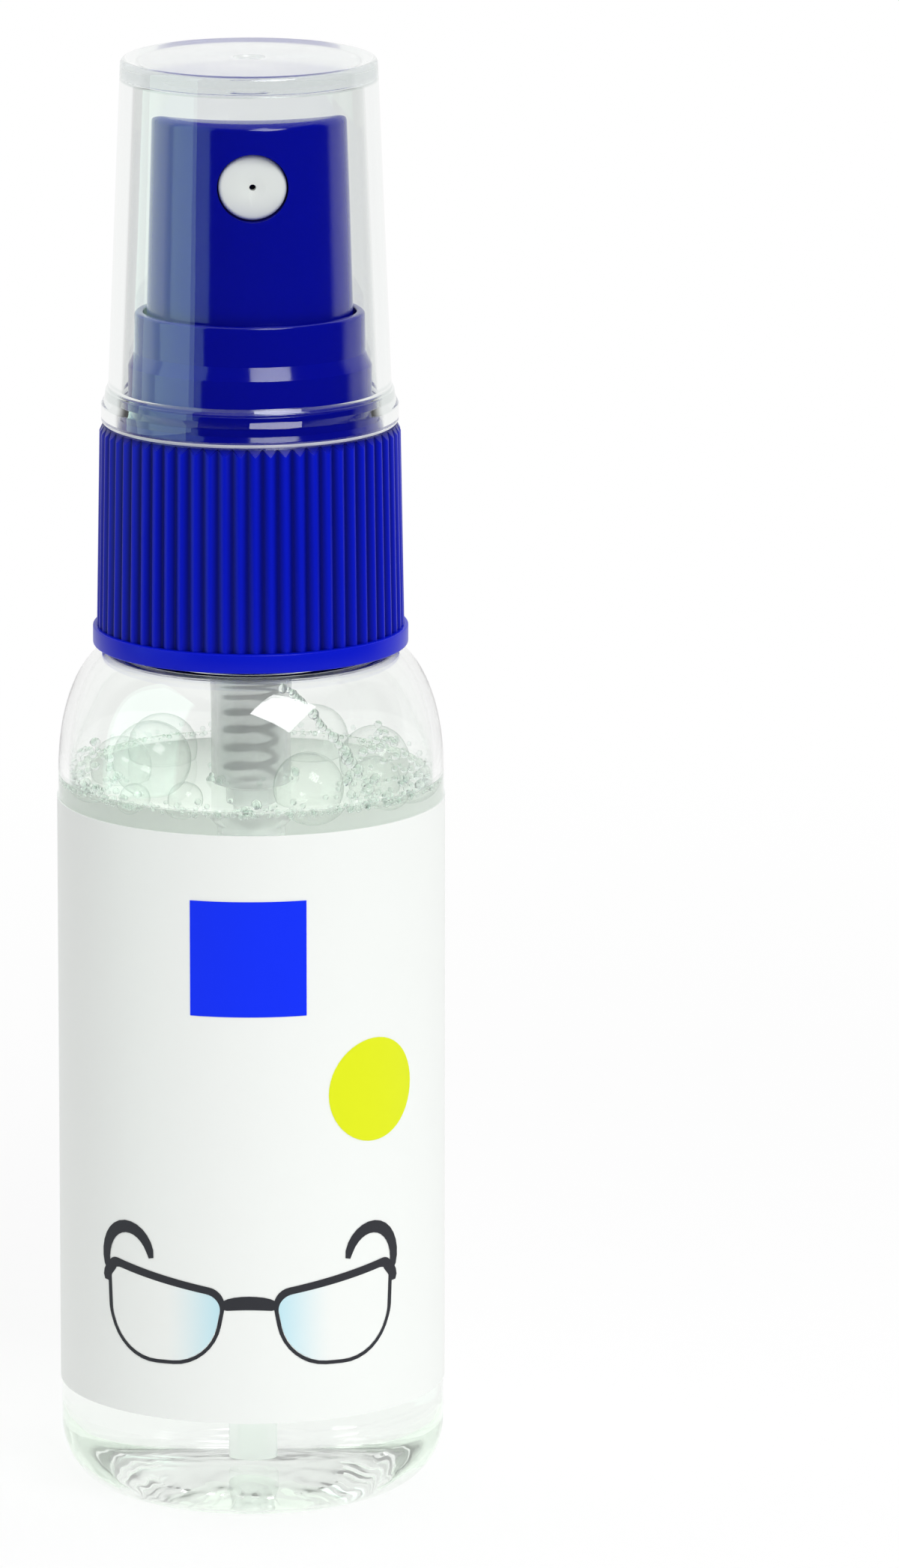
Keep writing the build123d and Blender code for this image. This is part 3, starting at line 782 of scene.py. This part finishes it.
    def wrap(self, piece, name, s, material, lift=0.03 * MM):
        """Bend a flat print round the label and lay it on the film."""
        piece.name = name
        select(piece)
        bpy.ops.object.transform_apply()
        radius = s.inner_radius + s.film + lift
        bend = piece.modifiers.new("Round the bottle", "SIMPLE_DEFORM")
        bend.deform_method = "BEND"
        bend.deform_axis = "Z"
        bend.angle = piece.dimensions.x / radius
        apply_all(piece)
        edit(piece)
        bpy.ops.transform.translate(value=(0, -radius, 0))
        clean()
        settle(piece, "root", "label_film", material)

    def ink(self, name, tint):
        """Offset ink under a satin varnish: even colour that shows the screen's faint mottle."""
        return moulded(name, tint, 0.45, 0.3 * MM, 0.0005 * MM, shade=0.04, shine=0.15)

    def lens_ink(self, paper, blue):
        """Pale blue ink that fades out from each lens's inner top corner."""
        material, add = new_material("Printing ink pale blue fade")
        parts = add("SeparateXYZ", {0: add("TexCoord", {}).outputs["Object"]})
        across = add("Math", {"operation": "ABSOLUTE", 0: parts.outputs["X"]})
        reach = {"From Min": 1.5 * MM, "From Max": 6.5 * MM, "To Min": 1.0, "To Max": 0.0}
        fade = add("MapRange", {**SMOOTH, "Value": across, **reach})
        mixed = add("Mix", {"data_type": "RGBA", SHARE: fade, FROM: (*paper, 1), TO: (*blue, 1)})
        looks = {"Base Color": mixed.outputs[MIXED], "Roughness": 0.4, "IOR": POLYPROPYLENE}
        return show(material, add, add("BsdfPrincipled", looks))


class MakeLiquid(bpy.types.Operator):
    """Model the liquid with its crept edge, and the foam on it"""

    bl_idname = "lens_spray.make_liquid"
    bl_label = "Liquid"

    def execute(self, context):
        b = context.scene.lens_spray_bottle
        s = context.scene.lens_spray_liquid
        side = b.radius - b.wall + s.overlap
        body = base_line(b, b.wall - s.overlap, b.floor - s.overlap)
        reach = [0, 0.15, 0.35, 0.6, 0.9, 1.3, 1.8, 2.6, 4.0]
        body += [(side - d * MM, s.level + s.creep * math.exp(-d / 0.8)) for d in reach]
        liquid = turned("cleaning_liquid", body + [(0, s.level)], steps=144)
        # Water with a little alcohol is clear, and bends light less than the wall round it.
        fluid = see_through("Water and alcohol liquid", s.tint, WATER, 0.0)
        settle(liquid, "root", "cleaning_fluid", fluid, "cleaning_fluid")
        draw = random.Random(s.seed)
        small = partial(bpy.ops.mesh.primitive_uv_sphere_add, segments=8, ring_count=5)
        ring = [self.blow("foam_ring", self.ring(draw, s.level), small)]
        for _ in range(RING_PARTS - 1):
            select(ring[-1])
            bpy.ops.object.duplicate()
            turn = FULL_TURN / RING_PARTS
            bpy.ops.transform.rotate(value=turn, orient_axis="Z", center_override=AXIS)
            ring.append(bpy.context.object)
        banks = self.blow("foam_banks", self.banks(draw, s.level), small)
        foam = join("foam_beads", ring + [banks])
        bpy.ops.object.transform_apply()
        # Each bead of froth is a wet skin round air, so it bends light only a little.
        settle(foam, "root", "cleaning_fluid", see_through("Foam beads wet", s.froth, FROTH, 0.02))
        round_film = partial(bpy.ops.mesh.primitive_ico_sphere_add, subdivisions=4)
        large = self.blow("large_bubbles", self.domes(s.level), round_film)
        settle(large, "root", "cleaning_fluid", soap_film(s.tint, s.bubble_rim_painted_shade))
        return {"FINISHED"}

    def wall_radius(self, height):
        """Inside radius of the bottle at a height on the shoulder."""
        b = bpy.context.scene.lens_spray_bottle
        rise = max(0.0, height - b.dome_start) / (b.shoulder - b.wall - b.dome_start)
        return b.land_radius + (b.radius - b.wall - b.land_radius) * math.sqrt(max(0.0, 1 - rise**2))

    def round_axis(self, turn, out, height, radius):
        """A bubble's place and size, by its angle from the front and its way out from the axis."""
        angle = math.radians(turn - 90)
        return (out * math.cos(angle), out * math.sin(angle), height, radius)

    def by_wall(self, turn, height, radius):
        """A bubble's place against the inside of the wall."""
        return self.round_axis(turn, self.wall_radius(height) - radius - 0.03 * MM, height, radius)

    def ring(self, draw, level):
        """Small beads on one of the equal parts of the liquid's edge."""
        places = []
        for _ in range(30):
            radius = draw.triangular(0.08, 0.34, 0.15) * MM
            height = level + draw.triangular(-0.2, 1.3, 0.2) * MM
            places.append(self.by_wall(draw.uniform(0, 360 / RING_PARTS), height, radius))
        return places

    def banks(self, draw, level):
        """Beads that climb the wall in banks, a string of them up the shoulder, and some by the pump."""
        places = []
        # The middle and half width of each bank in degrees, its height in millimetres, and its beads.
        for middle, half, top, count in ((48, 30, 6.0, 170), (-58, 30, 4.5, 90), (4, 16, 1.2, 30)):
            for _ in range(count):
                turn = middle + draw.triangular(-half, half, 0)
                climb = draw.random() ** 1.6 * top * (1 - abs(turn - middle) / half)
                radius = draw.triangular(0.08, 0.4, 0.14) * MM
                places.append(self.by_wall(turn, level + climb * MM, radius))
        string, by_pump, pump_side = 32, 26, 3.1 * MM
        for n in range(string):
            t = n / (string - 1)
            turn = 14 + 27 * t + draw.uniform(-0.8, 0.8)
            places.append(self.by_wall(turn, (63.4 - 7.6 * t**1.3) * MM, draw.uniform(0.2, 0.46) * MM))
        for _ in range(by_pump):
            turn = math.degrees(draw.uniform(0, FULL_TURN)) + 90
            radius = draw.uniform(0.12, 0.36) * MM
            height = level + draw.uniform(0, 0.5) * MM
            places.append(self.round_axis(turn, pump_side + radius, height, radius))
        return places

    def domes(self, level):
        """Large bubbles between the pump and the wall: turn, way out, radius and lift in millimetres."""
        large = (
            (-50, 9.4, 2.9, 2.6),
            (-84, 9.8, 2.3, 0.9),
            (-26, 10.6, 1.3, 0.4),
            (-44, 12.0, 1.1, 0.3),
            (27, 9.6, 2.6, 1.1),
            (62, 10.4, 1.9, 0.7),
            (96, 9.4, 2.7, 0.9),
            (150, 8.8, 3.0, 1.0),
            (-130, 9.0, 2.7, 0.8),
        )
        return [
            self.round_axis(turn, out * MM, level + lift * MM, radius * MM)
            for turn, out, radius, lift in large
        ]

    def blow(self, name, places, add_ball):
        """Fill one piece with round bubbles, each added at its place and size."""
        first = places[0]
        piece = start_with(add_ball, radius=first[3], location=first[:3])
        piece.name = name
        bpy.ops.object.transform_apply()
        edit(piece)
        for x, y, z, radius in places[1:]:
            add_ball(radius=radius, location=(x, y, z))
        close_edit()
        bpy.ops.object.shade_smooth()
        return piece


class MakePump(bpy.types.Operator):
    """Model the pump's housing, dip tube and spring, and finish its hidden pieces"""

    bl_idname = "lens_spray.make_pump"
    bl_label = "Pump"

    def execute(self, context):
        s = context.scene.lens_spray_pump
        milky = milky_pp("Polypropylene unpigmented milky", s.milky, 0.72, 0.17)
        settle(self.housing(s), "pump", "natural_pp", milky, "pump_housing")
        wet = milky_pp("Polyethylene dip tube milky", s.milky, 0.7, 0.35, TUBE_IN_WATER)
        settle(self.dip_tube(s), "pump", "natural_pe", wet, "dip_tube")
        low = cad("return_spring", LOWEST).z
        drawn = metal("Stainless wire drawn", s.wire_grey, 0.3, stretch=6)
        spring = self.spring(s, low)
        settle(spring, "pump", "spring_steel", drawn, "return_spring")
        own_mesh(spring)
        pores, grain = 0.05 * MM, 0.3 * MM
        finishes = {
            "gasket": moulded("Polyethylene foam white", s.piston_white, 0.7, grain, pores),
            "retainer_ring": moulded("Polyethylene moulded white", s.white, 0.45, grain, 0.002 * MM),
            "piston": moulded("Polyethylene moulded soft white", s.piston_white, 0.5, grain, 0.002 * MM),
            "valve_core": moulded("Acetal moulded white", s.white, 0.3, grain, 0.001 * MM),
            "stem": moulded("Acetal stem moulded white", s.white, 0.3, grain, 0.001 * MM),
            "inlet_ball": metal("Stainless ball polished", s.ball_grey, 0.08),
        }
        for node, material in finishes.items():
            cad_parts[node].material_slots[0].material = material
        return {"FINISHED"}

    def dip_tube(self, s):
        """Spin the plain tube that reaches down into the liquid."""
        low, high = cad("dip_tube", LOWEST).z, cad("dip_tube", HIGHEST).z
        inner, outer = 0.05, 0.1
        corners = [
            (s.tube_bore, low, inner),
            (s.tube, low, outer),
            (s.tube, high, outer),
            (s.tube_bore, high, inner),
        ]
        return turned("dip_tube_milky", closed(rounded(corners, parts=2)), steps=32)

    def spring(self, s, low):
        """Wind the round wire of the return spring."""
        rise = cad("return_spring", HIGHEST).z - low - 2 * s.wire
        place = (s.coil - s.wire, 0, low + s.wire)
        add = bpy.ops.mesh.primitive_circle_add
        wire = start_with(add, vertices=10, radius=s.wire, location=place, rotation=LYING)
        wire.name = "return_spring_wire"
        bpy.ops.object.transform_apply()
        climb(wire, s.turns, rise, 26 * s.turns)
        return wire

    def housing(self, s):
        """Spin the body: snap cup, sealing flange, barrel, spring barrel, ball pocket and tail."""
        low, high = cad("pump_housing", LOWEST).z, cad("pump_housing", HIGHEST).z
        flange, flange_low, flange_high = cad("pump_housing", HIGHEST).x, high - 2.4 * MM, high - 1.55 * MM
        spring_foot = cad("return_spring", LOWEST).z - 0.02 * MM
        foot, taper = low + 19.0 * MM, 0.85 * MM
        wide = s.barrel + taper
        cup_foot, cup_floor, cup_bore = high - 4.45 * MM, high - 3.85 * MM, s.cup - 0.8 * MM
        tail, tail_bore, tube_socket = 1.9 * MM, 0.75 * MM, 1.37 * MM
        wide_bore, bore, seat_bore, pocket = 3.05 * MM, 2.4 * MM, 1.1 * MM, 1.45 * MM
        # Down the tube's socket, up the outside and over the cup, then down through the bores.
        corners = [
            (tail_bore, low + 4.4 * MM),
            (tube_socket, low + 4.4 * MM),
            (tube_socket, low),
            (tail, low, 0.15),
            (tail, low + 4.9 * MM, 0.4),
            (s.barrel, low + 6.5 * MM, 0.5),
            (s.barrel, foot - taper, 0.5),
            (wide, foot, 0.4),
            (wide, cup_foot, 0.3),
            (s.cup, cup_foot, 0.5),
            (s.cup, flange_low, 0.2),
            (flange, flange_low, 0.15),
            (flange, flange_high, 0.15),
            (s.cup, flange_high, 0.1),
            (s.cup, high, 0.15),
            (cup_bore, high, 0.15),
            (cup_bore, cup_floor, 0.3),
            (wide_bore, cup_floor, 0.2),
            (wide_bore, foot + taper, 0.3),
            (bore, foot, 0.3),
            (bore, spring_foot),
            (seat_bore, spring_foot, 0.2),
            (seat_bore, spring_foot - 0.52 * MM, 0.2),
            (pocket, spring_foot - 0.6 * MM, 0.1),
            (pocket, low + 5.7 * MM, 0.2),
            (tail_bore, low + 5.0 * MM),
        ]
        housing = turned("pump_housing_milky", closed(rounded(corners, parts=4)), steps=96)
        vent = (0, -wide, low + 27.336 * MM)
        drill(housing, vertices=24, radius=0.4 * MM, depth=4 * MM, location=vent)
        return housing


class MakeClosure(bpy.types.Operator):
    """Model the screw closure with its ribs, seat and collar"""

    bl_idname = "lens_spray.make_closure"
    bl_label = "Closure"

    def execute(self, context):
        s = context.scene.lens_spray_closure
        low, high = cad("closure", LOWEST).z + s.lift, cad("closure", HIGHEST).z
        band = cad("closure", HIGHEST).x
        band_top = low + 1.45 * MM
        crest_low, crest_high = band - 0.21 * MM, band - 0.47 * MM
        crest_end = s.deck - 0.75 * MM
        collar_foot = s.collar_radius + s.collar_step
        seat_low, seat_high = s.seat_radius + 0.08 * MM, s.seat_radius - 0.12 * MM
        hole, under_deck, chamfer = 6.25 * MM, s.deck - 1.35 * MM, 0.35 * MM
        # Up the outside and the collar, down inside it to the deck's hole, and down the bore.
        corners = [
            (s.bore + chamfer, low),
            (band, low, 0.15),
            (band, band_top, 0.12),
            (crest_low, band_top),
            (crest_high, crest_end),
            (s.deck_radius, s.deck),
            (seat_low, s.deck),
            (seat_low, s.deck + 0.4 * MM, 0.25),
            (seat_high, s.deck + 0.8 * MM, 0.15),
            (seat_high, s.seat, 0.15),
            (collar_foot, s.seat, 0.5),
            (collar_foot, s.step_low, 0.1),
            (s.collar_radius, s.step_high, 0.1),
            (s.collar_radius - 0.03 * MM, high, 0.22),
            (s.collar_bore, high, 0.12),
            (s.collar_bore, s.deck),
            (hole, s.deck),
            (hole, under_deck),
            (s.bore, under_deck),
            (s.bore, low + chamfer),
        ]
        closure = turned("closure_ribbed", closed(rounded(corners, parts=4)), steps=2 * s.ribs)

        def in_valley(place):
            return round(math.atan2(place.y, place.x) * s.ribs / math.pi) % 2 == 1

        def at(place, radius, height):
            return abs(place.xy.length - radius) < 0.01 * MM and abs(place.z - height) < 0.01 * MM

        for radius, height in ((crest_low, band_top), (crest_high, crest_end)):
            pick(closure, "vertices", lambda v: at(v.co, radius, height) and in_valley(v.co))
            ratio = (radius - s.rib_depth) / radius
            bpy.ops.transform.resize(value=(ratio, ratio, 1), center_override=AXIS)
        slope = (s.deck - crest_end) / (crest_high - s.deck_radius)
        pick(closure, "vertices", lambda v: at(v.co, crest_high - s.rib_depth, crest_end))
        bpy.ops.transform.translate(value=(0, 0, s.rib_depth * slope))
        for is_valley, rounding in ((False, 3.5 * s.rib_edge), (True, s.rib_edge)):

            def along_rib(edge):
                a, b = (closure.data.vertices[v].co for v in edge.vertices)
                tall = abs(a.z - b.z) > 10 * MM
                outside = min(a.xy.length, b.xy.length) > s.bore + 0.5 * MM
                return tall and outside and in_valley(a) == is_valley

            pick(closure, "edges", along_rib)
            bpy.ops.mesh.bevel(offset=rounding, segments=3, affect="EDGES")
        bpy.context.tool_settings.mesh_select_mode = (True, False, False)
        clean()
        lean = (crest_low - crest_high) / (crest_end - band_top)
        # The closure's blue material paints shade into the grooves between the ribs.
        blue = self.satin(s.blue, lean, crest_low + lean * band_top)
        settle(closure, "screw_closure", "blue_pp", blue, "closure")
        polished = moulded("Polypropylene moulded blue polished", s.polished, 0.1, 0.5 * MM, 0.0004 * MM)
        seat_edge = s.seat_radius + 0.1 * MM
        second_finish(closure, polished, lambda p: p.z > s.deck - 0.01 * MM and p.xy.length < seat_edge)
        pitch = context.scene.lens_spray_bottle.thread_pitch
        height = cad("bottle", HIGHEST).z - 9.79 * MM
        radii = (s.bore + 0.1 * MM, s.bore - 0.85 * MM)
        ridge = thread("closure_thread", radii, (1.4 * MM, 0.6 * MM), height, pitch)
        settle(ridge, "screw_closure", "blue_pp", blue)
        return {"FINISHED"}

    def satin(self, tint, lean, crest):
        """Satin blue polypropylene, with shade painted into the grooves: the colour darkens from the crests
        to the groove floors.
        """
        material, add = new_material("Polypropylene moulded blue satin")
        place = add("TexCoord", {}).outputs["Object"]
        parts = add("SeparateXYZ", {0: place}).outputs
        flat = add("CombineXYZ", {0: parts["X"], 1: parts["Y"]})
        radius = add("VectorMath", {"operation": "LENGTH", 0: flat}).outputs["Value"]
        upright = add("Math", {"operation": "MULTIPLY_ADD", 0: parts["Z"], 1: lean, 2: radius})
        reach = {"From Min": crest - 0.36 * MM, "From Max": crest - 0.04 * MM}
        height = add("MapRange", {"Value": upright, **reach})
        # Painted shade: the groove floors get three tenths of the crest colour, as if less light reached
        # them.
        painted_groove_shade = (*(c * 0.3 for c in tint), 1)
        shade = add("Mix", {"data_type": "RGBA", SHARE: height, FROM: painted_groove_shade, TO: (*tint, 1)})
        lumps = add("TexNoise", {"Scale": 1 / (0.5 * MM), "Vector": place})
        grain = add("Bump", {"Distance": 0.0008 * MM, "Height": lumps})
        looks = {"Roughness": 0.3, "IOR": POLYPROPYLENE, "Specular IOR Level": 0.12}
        looks |= {"Base Color": shade.outputs[MIXED], "Normal": grain}
        return show(material, add, add("BsdfPrincipled", looks))


class MakeHead(bpy.types.Operator):
    """Model the push-button with its finger dish, and the white nozzle insert"""

    bl_idname = "lens_spray.make_head"
    bl_label = "Spray head"

    def execute(self, context):
        s = context.scene.lens_spray_head
        blue = moulded("Polypropylene moulded blue button", s.blue, 0.12, 0.6 * MM, 0.0004 * MM)
        white = moulded("Acetal moulded white insert", s.white, 0.25, 0.3 * MM, 0.0008 * MM, shade=0.03)
        button, insert = self.button(s), self.insert(s)
        for piece in (button, insert):
            piece.rotation_euler = (0, 0, s.turn)
            select(piece)
            bpy.ops.object.transform_apply()
        settle(button, "spray_head", "blue_pp", blue, "actuator")
        settle(insert, "spray_head", "white_pom", white, "nozzle_insert")
        return {"FINISHED"}

    def button(self, s):
        """Spin the hollow button, press the finger dish into it and drill the nozzle's socket."""
        low, high = cad("actuator", LOWEST).z, cad("actuator", HIGHEST).z
        hollow = s.nozzle_height - s.nozzle - 1.0 * MM
        boss, stem, boss_foot, stem_top = 3.25 * MM, 2.02 * MM, low + 3.7 * MM, 95.27 * MM
        # Down the outside, up inside the skirt, and round the boss to the stem's bore.
        corners = [
            (0, high),
            (s.top_radius, high, s.edge / MM),
            (s.low_radius, low, 0.15),
            (s.low_radius - s.wall, low, 0.15),
            (s.top_radius - s.wall, hollow, 0.3),
            (boss, hollow, 0.3),
            (boss, boss_foot),
            (stem, boss_foot),
            (stem, stem_top),
            (0, stem_top),
        ]
        button = turned("push_button", rounded(corners, parts=8), steps=128)
        rise = math.sqrt(s.dish**2 - s.dish_plan**2)
        place = (0, s.land - s.top_radius + s.dish_plan, high + rise)
        add = bpy.ops.mesh.primitive_uv_sphere_add
        cut(button, start_with(add, segments=160, ring_count=120, radius=s.dish, location=place))
        back, depth = -1.9 * MM, 10 * MM
        socket = (0, back - depth / 2, s.nozzle_height)
        drill(button, vertices=64, radius=s.nozzle + 0.09 * MM, depth=depth, location=socket)
        edit(button)
        bpy.ops.mesh.remove_doubles(threshold=2 * WELD)
        close_edit()
        bpy.ops.object.shade_smooth_by_angle(angle=math.radians(32))
        return button

    def insert(self, s):
        """Spin the white insert with its fine bore, and lay it in the button's front."""
        hole, thick, depth, inner = 0.24 * MM, 0.9 * MM, 4.6 * MM, s.nozzle - 0.7 * MM
        corners = [
            (hole, thick),
            (hole, 0.06 * MM, 0.03),
            (0.95 * MM, 0, 0.4),
            (s.nozzle, 0, 0.3),
            (s.nozzle, depth),
            (inner, depth),
            (inner, thick),
        ]
        insert = turned("nozzle_disc", closed(rounded(corners, parts=4)), steps=64)
        insert.rotation_euler = (-math.pi / 2, 0, 0)
        insert.location = (0, 0.5 * MM - s.top_radius, s.nozzle_height)
        bpy.ops.object.transform_apply()
        return insert


class MakeOvercap(bpy.types.Operator):
    """Model the clear overcap with its flared foot"""

    bl_idname = "lens_spray.make_overcap"
    bl_label = "Overcap"

    def execute(self, context):
        s = context.scene.lens_spray_overcap
        low, high = cad("overcap", LOWEST).z, cad("overcap", HIGHEST).z
        skirt_top = low + s.skirt
        waist = skirt_top + s.flare
        side, side_foot = s.waist_radius - 0.02 * MM, waist + 0.3 * MM
        edge = s.ceiling + 0.1 * MM
        lean = (side - s.top_radius) / (high - side_foot)
        gate = high - 0.2 * MM
        # Out from the gate's dimple, down the outside, and up the inside to the ceiling.
        corners = [
            (0, gate),
            (1.12 * MM, gate, 0.05),
            (1.22 * MM, high, 0.05),
            (s.top_radius, high, 0.45),
            (s.top_radius + lean * edge, high - edge),
            (side, side_foot, 0.5),
            (s.waist_radius + 0.18 * MM, waist - 0.05 * MM, 0.25),
            (s.waist_radius + 0.27 * MM, skirt_top + 0.35 * MM, 0.25),
            (s.skirt_radius, skirt_top - 0.15 * MM, 0.35),
            (s.skirt_radius, low, 0.3),
            (s.grip_radius, low, 0.12),
            (s.grip_radius, low + 2.3 * MM, 0.25),
            (s.waist_radius - s.wall, waist, 0.25),
            (s.top_radius - s.wall, high - s.ceiling, 0.3),
            (0, high - s.ceiling),
        ]
        cap = turned("overcap_clear", rounded(corners, parts=6), steps=144)
        clear = clear_pp("Polypropylene injection moulded clear", s.tint)
        settle(cap, "cover", "clear_pp", clear, "overcap")
        # Painted shade: the thick top rim and the flare get a darker tint than the rest of the cap.
        thick = clear_pp("Polypropylene injection moulded thick edge", s.edge_painted_shade)
        inner, flare_foot = s.top_radius - 0.4 * MM, skirt_top - 0.2 * MM

        def in_painted_shade_edge(place):
            out = place.xy.length
            at_top = high - edge < place.z < high - 0.02 * MM and out > inner
            return at_top or (flare_foot < place.z < side_foot and out > s.waist_radius - 0.1 * MM)

        second_finish(cap, thick, in_painted_shade_edge)
        scuffed = milky_pp("Polypropylene moulded scuffed foot", s.tint, 0.45, 0.35)
        foot, outside = low + 0.62 * MM, s.grip_radius + 0.5 * MM
        second_finish(cap, scuffed, lambda p: p.z < foot and p.xy.length > outside)
        satin = milky_pp("Polypropylene moulded satin top", s.tint, 0.85, 0.2)
        second_finish(cap, satin, lambda p: p.z > high - 0.3 * MM and p.xy.length < inner)
        return {"FINISHED"}


class MakeStage(bpy.types.Operator):
    """Set the floor, the lamps, the white surroundings and the camera"""

    bl_idname = "lens_spray.make_stage"
    bl_label = "Stage"

    def execute(self, context):
        s = context.scene.lens_spray_stage
        scene = context.scene
        scene.view_settings.view_transform = "Standard"
        scene.cycles.max_bounces = 24
        scene.cycles.diffuse_bounces = 8
        scene.cycles.transmission_bounces = 24
        scene.cycles.transparent_max_bounces = 48
        add = bpy.ops.mesh.primitive_circle_add
        floor = start_with(add, vertices=128, radius=0.28, fill_type="NGON", location=AXIS)
        floor.name = "table"
        floor.data.materials.append(self.table(s.floor))
        self.surroundings(scene)
        place, middle = (0.32, -0.66, 0.74), (0, 0, 0.06)
        self.hang("softbox", s.key, (0.5, 0.5), place, middle, roll=math.radians(45))
        place, straight_right = (-0.5, -0.22, 0.35), (0, -0.22, 0.35)
        panel = self.hang("side_panel", s.side, (0.56, 0.8), place, straight_right, roll=0)
        panel.data.color = (0.68, 1.0, 0.84)
        panel.visible_diffuse = False
        data = bpy.data.cameras.new("camera")
        data.lens = s.focal
        data.clip_start = 0.01
        camera = bpy.data.objects.new("camera", data)
        scene.collection.objects.link(camera)
        tilt = Matrix.Rotation(math.pi / 2 - s.camera_fall, 4, "X")
        roll = Matrix.Rotation(s.camera_roll, 4, "Z")
        camera.matrix_world = Matrix.Translation(s.camera_place) @ tilt @ roll
        scene.camera = camera
        return {"FINISHED"}

    def hang(self, name, power, size, place, aim, roll):
        """Place a flat lamp so that it faces a point, turned about that line."""
        lamp = bpy.data.lights.new(name, "AREA")
        lamp.shape = "RECTANGLE"
        lamp.energy = power
        lamp.size, lamp.size_y = size
        light = bpy.data.objects.new(name, lamp)
        bpy.context.scene.collection.objects.link(light)
        look = (Vector(aim) - Vector(place)).to_track_quat("-Z", "Y").to_matrix().to_4x4()
        light.matrix_world = Matrix.Translation(place) @ look @ Matrix.Rotation(roll, 4, "Z")
        light.visible_camera = False
        return light

    def table(self, tint):
        """A matt white laminate table that the eye takes as white, and that keeps shadows."""
        material, add = new_material("Laminate matt white")
        place = add("TexCoord", {}).outputs["Object"]
        cloud = add("TexNoise", {"Scale": 1 / (8 * MM), "Vector": place})
        uneven = add("Mix", {**MULTIPLY, SHARE: 0.02, FROM: (*tint, 1), TO: cloud})
        looks = {"Roughness": 0.9, "Specular IOR Level": 0.0, "Base Color": uneven.outputs[MIXED]}
        matt = add("BsdfPrincipled", looks)
        glow = add("Emission", {"Color": WHITE, "Strength": 1.0})
        far = add("VectorMath", {"operation": "LENGTH", 0: place}).outputs["Value"]
        melt = add("MapRange", {**SMOOTH, "From Min": 0.06, "From Max": 0.27, "To Min": 0.7, "Value": far})
        white = add("MixShader", {0: melt, 1: matt, 2: glow})
        # 1 for what the camera, a mirror or clear plastic looks at, and 0 for lighting.
        path = add("LightPath", {}).outputs
        sharp = {0: path["Is Glossy Ray"], 1: path["Is Transmission Ray"]}
        mirror = add("Math", {"operation": "MAXIMUM", **sharp})
        seen = add("Math", {"operation": "MAXIMUM", 0: mirror, 1: path["Is Camera Ray"]})
        return show(material, add, add("MixShader", {0: seen, 1: matt, 2: white}))

    def surroundings(self, scene):
        """White behind and at the sides of the object, and a dim room in front of it."""
        scene.world = bpy.data.worlds.new("studio")
        add = empty_tree(scene.world)
        parts = add("SeparateXYZ", {0: add("TexCoord", {}).outputs["Generated"]}).outputs
        path = add("LightPath", {}).outputs
        clear = path["Is Transmission Ray"]
        # A mirror ray is glossy and has not gone through clear plastic.
        mirror = add("Math", {"operation": "SUBTRACT", "use_clamp": True, 0: path["Is Glossy Ray"], 1: clear})
        turn = add("Math", {"operation": "MULTIPLY", 0: mirror, 1: -0.3})
        front = add("MapRange", {"To Min": 0.3, "To Max": 0.85, "Value": clear})
        dim = add("Math", {"operation": "MULTIPLY_ADD", 0: mirror, 1: -0.285, 2: front})
        depth = add("Math", {"operation": "ADD", 0: parts["Y"], 1: turn})
        behind = add("MapRange", {**SMOOTH, "From Min": -0.12, "From Max": 0.1, "Value": depth})
        steep = add("Math", {"operation": "ABSOLUTE", 0: parts["Z"]})
        start = add("MapRange", {"To Min": 0.7, "To Max": 0.28, "Value": clear})
        above = add("MapRange", {**SMOOTH, "From Min": start, "From Max": 0.88, "Value": steep})
        white = add("Math", {"operation": "MAXIMUM", 0: behind, 1: above})
        level = add("MapRange", {"To Min": dim, "To Max": 0.95, "Value": white})
        room = add("Background", {"Color": WHITE, "Strength": level})
        backdrop = add("Background", {"Color": WHITE, "Strength": 1.0})
        both = add("MixShader", {0: path["Is Camera Ray"], 1: room, 2: backdrop})
        add("OutputWorld", {"Surface": both})


# ------------------------------------------------------------------ panel and registration


PARTS = (
    ("lens_spray_bottle", BottleSettings, MakeBottle),
    ("lens_spray_label", LabelSettings, MakeLabel),
    ("lens_spray_liquid", LiquidSettings, MakeLiquid),
    ("lens_spray_pump", PumpSettings, MakePump),
    ("lens_spray_closure", ClosureSettings, MakeClosure),
    ("lens_spray_head", HeadSettings, MakeHead),
    ("lens_spray_overcap", OvercapSettings, MakeOvercap),
    ("lens_spray_stage", StageSettings, MakeStage),
)


class LensSprayPanel(bpy.types.Panel):
    """Lists the pieces and their sizes"""

    bl_idname = "VIEW3D_PT_lens_spray"
    bl_label = "Lens spray"
    bl_space_type = "VIEW_3D"
    bl_region_type = "UI"
    bl_category = "Lens spray"

    def draw(self, context):
        for name, group, operator in PARTS:
            box = self.layout.box()
            box.operator(operator.bl_idname)
            for key in group.__annotations__:
                box.prop(getattr(context.scene, name), key)


def register():
    for name, group, operator in PARTS:
        bpy.utils.register_class(group)
        bpy.utils.register_class(operator)
        setattr(bpy.types.Scene, name, PointerProperty(type=group))
    bpy.utils.register_class(LensSprayPanel)


def unregister():
    bpy.utils.unregister_class(LensSprayPanel)
    for name, group, operator in reversed(PARTS):
        delattr(bpy.types.Scene, name)
        bpy.utils.unregister_class(operator)
        bpy.utils.unregister_class(group)


def main():
    """Build every piece in order."""
    register()
    for _, _, operator in PARTS:
        section, name = operator.bl_idname.split(".")
        getattr(getattr(bpy.ops, section), name)()


if __name__ == "__main__":
    main()
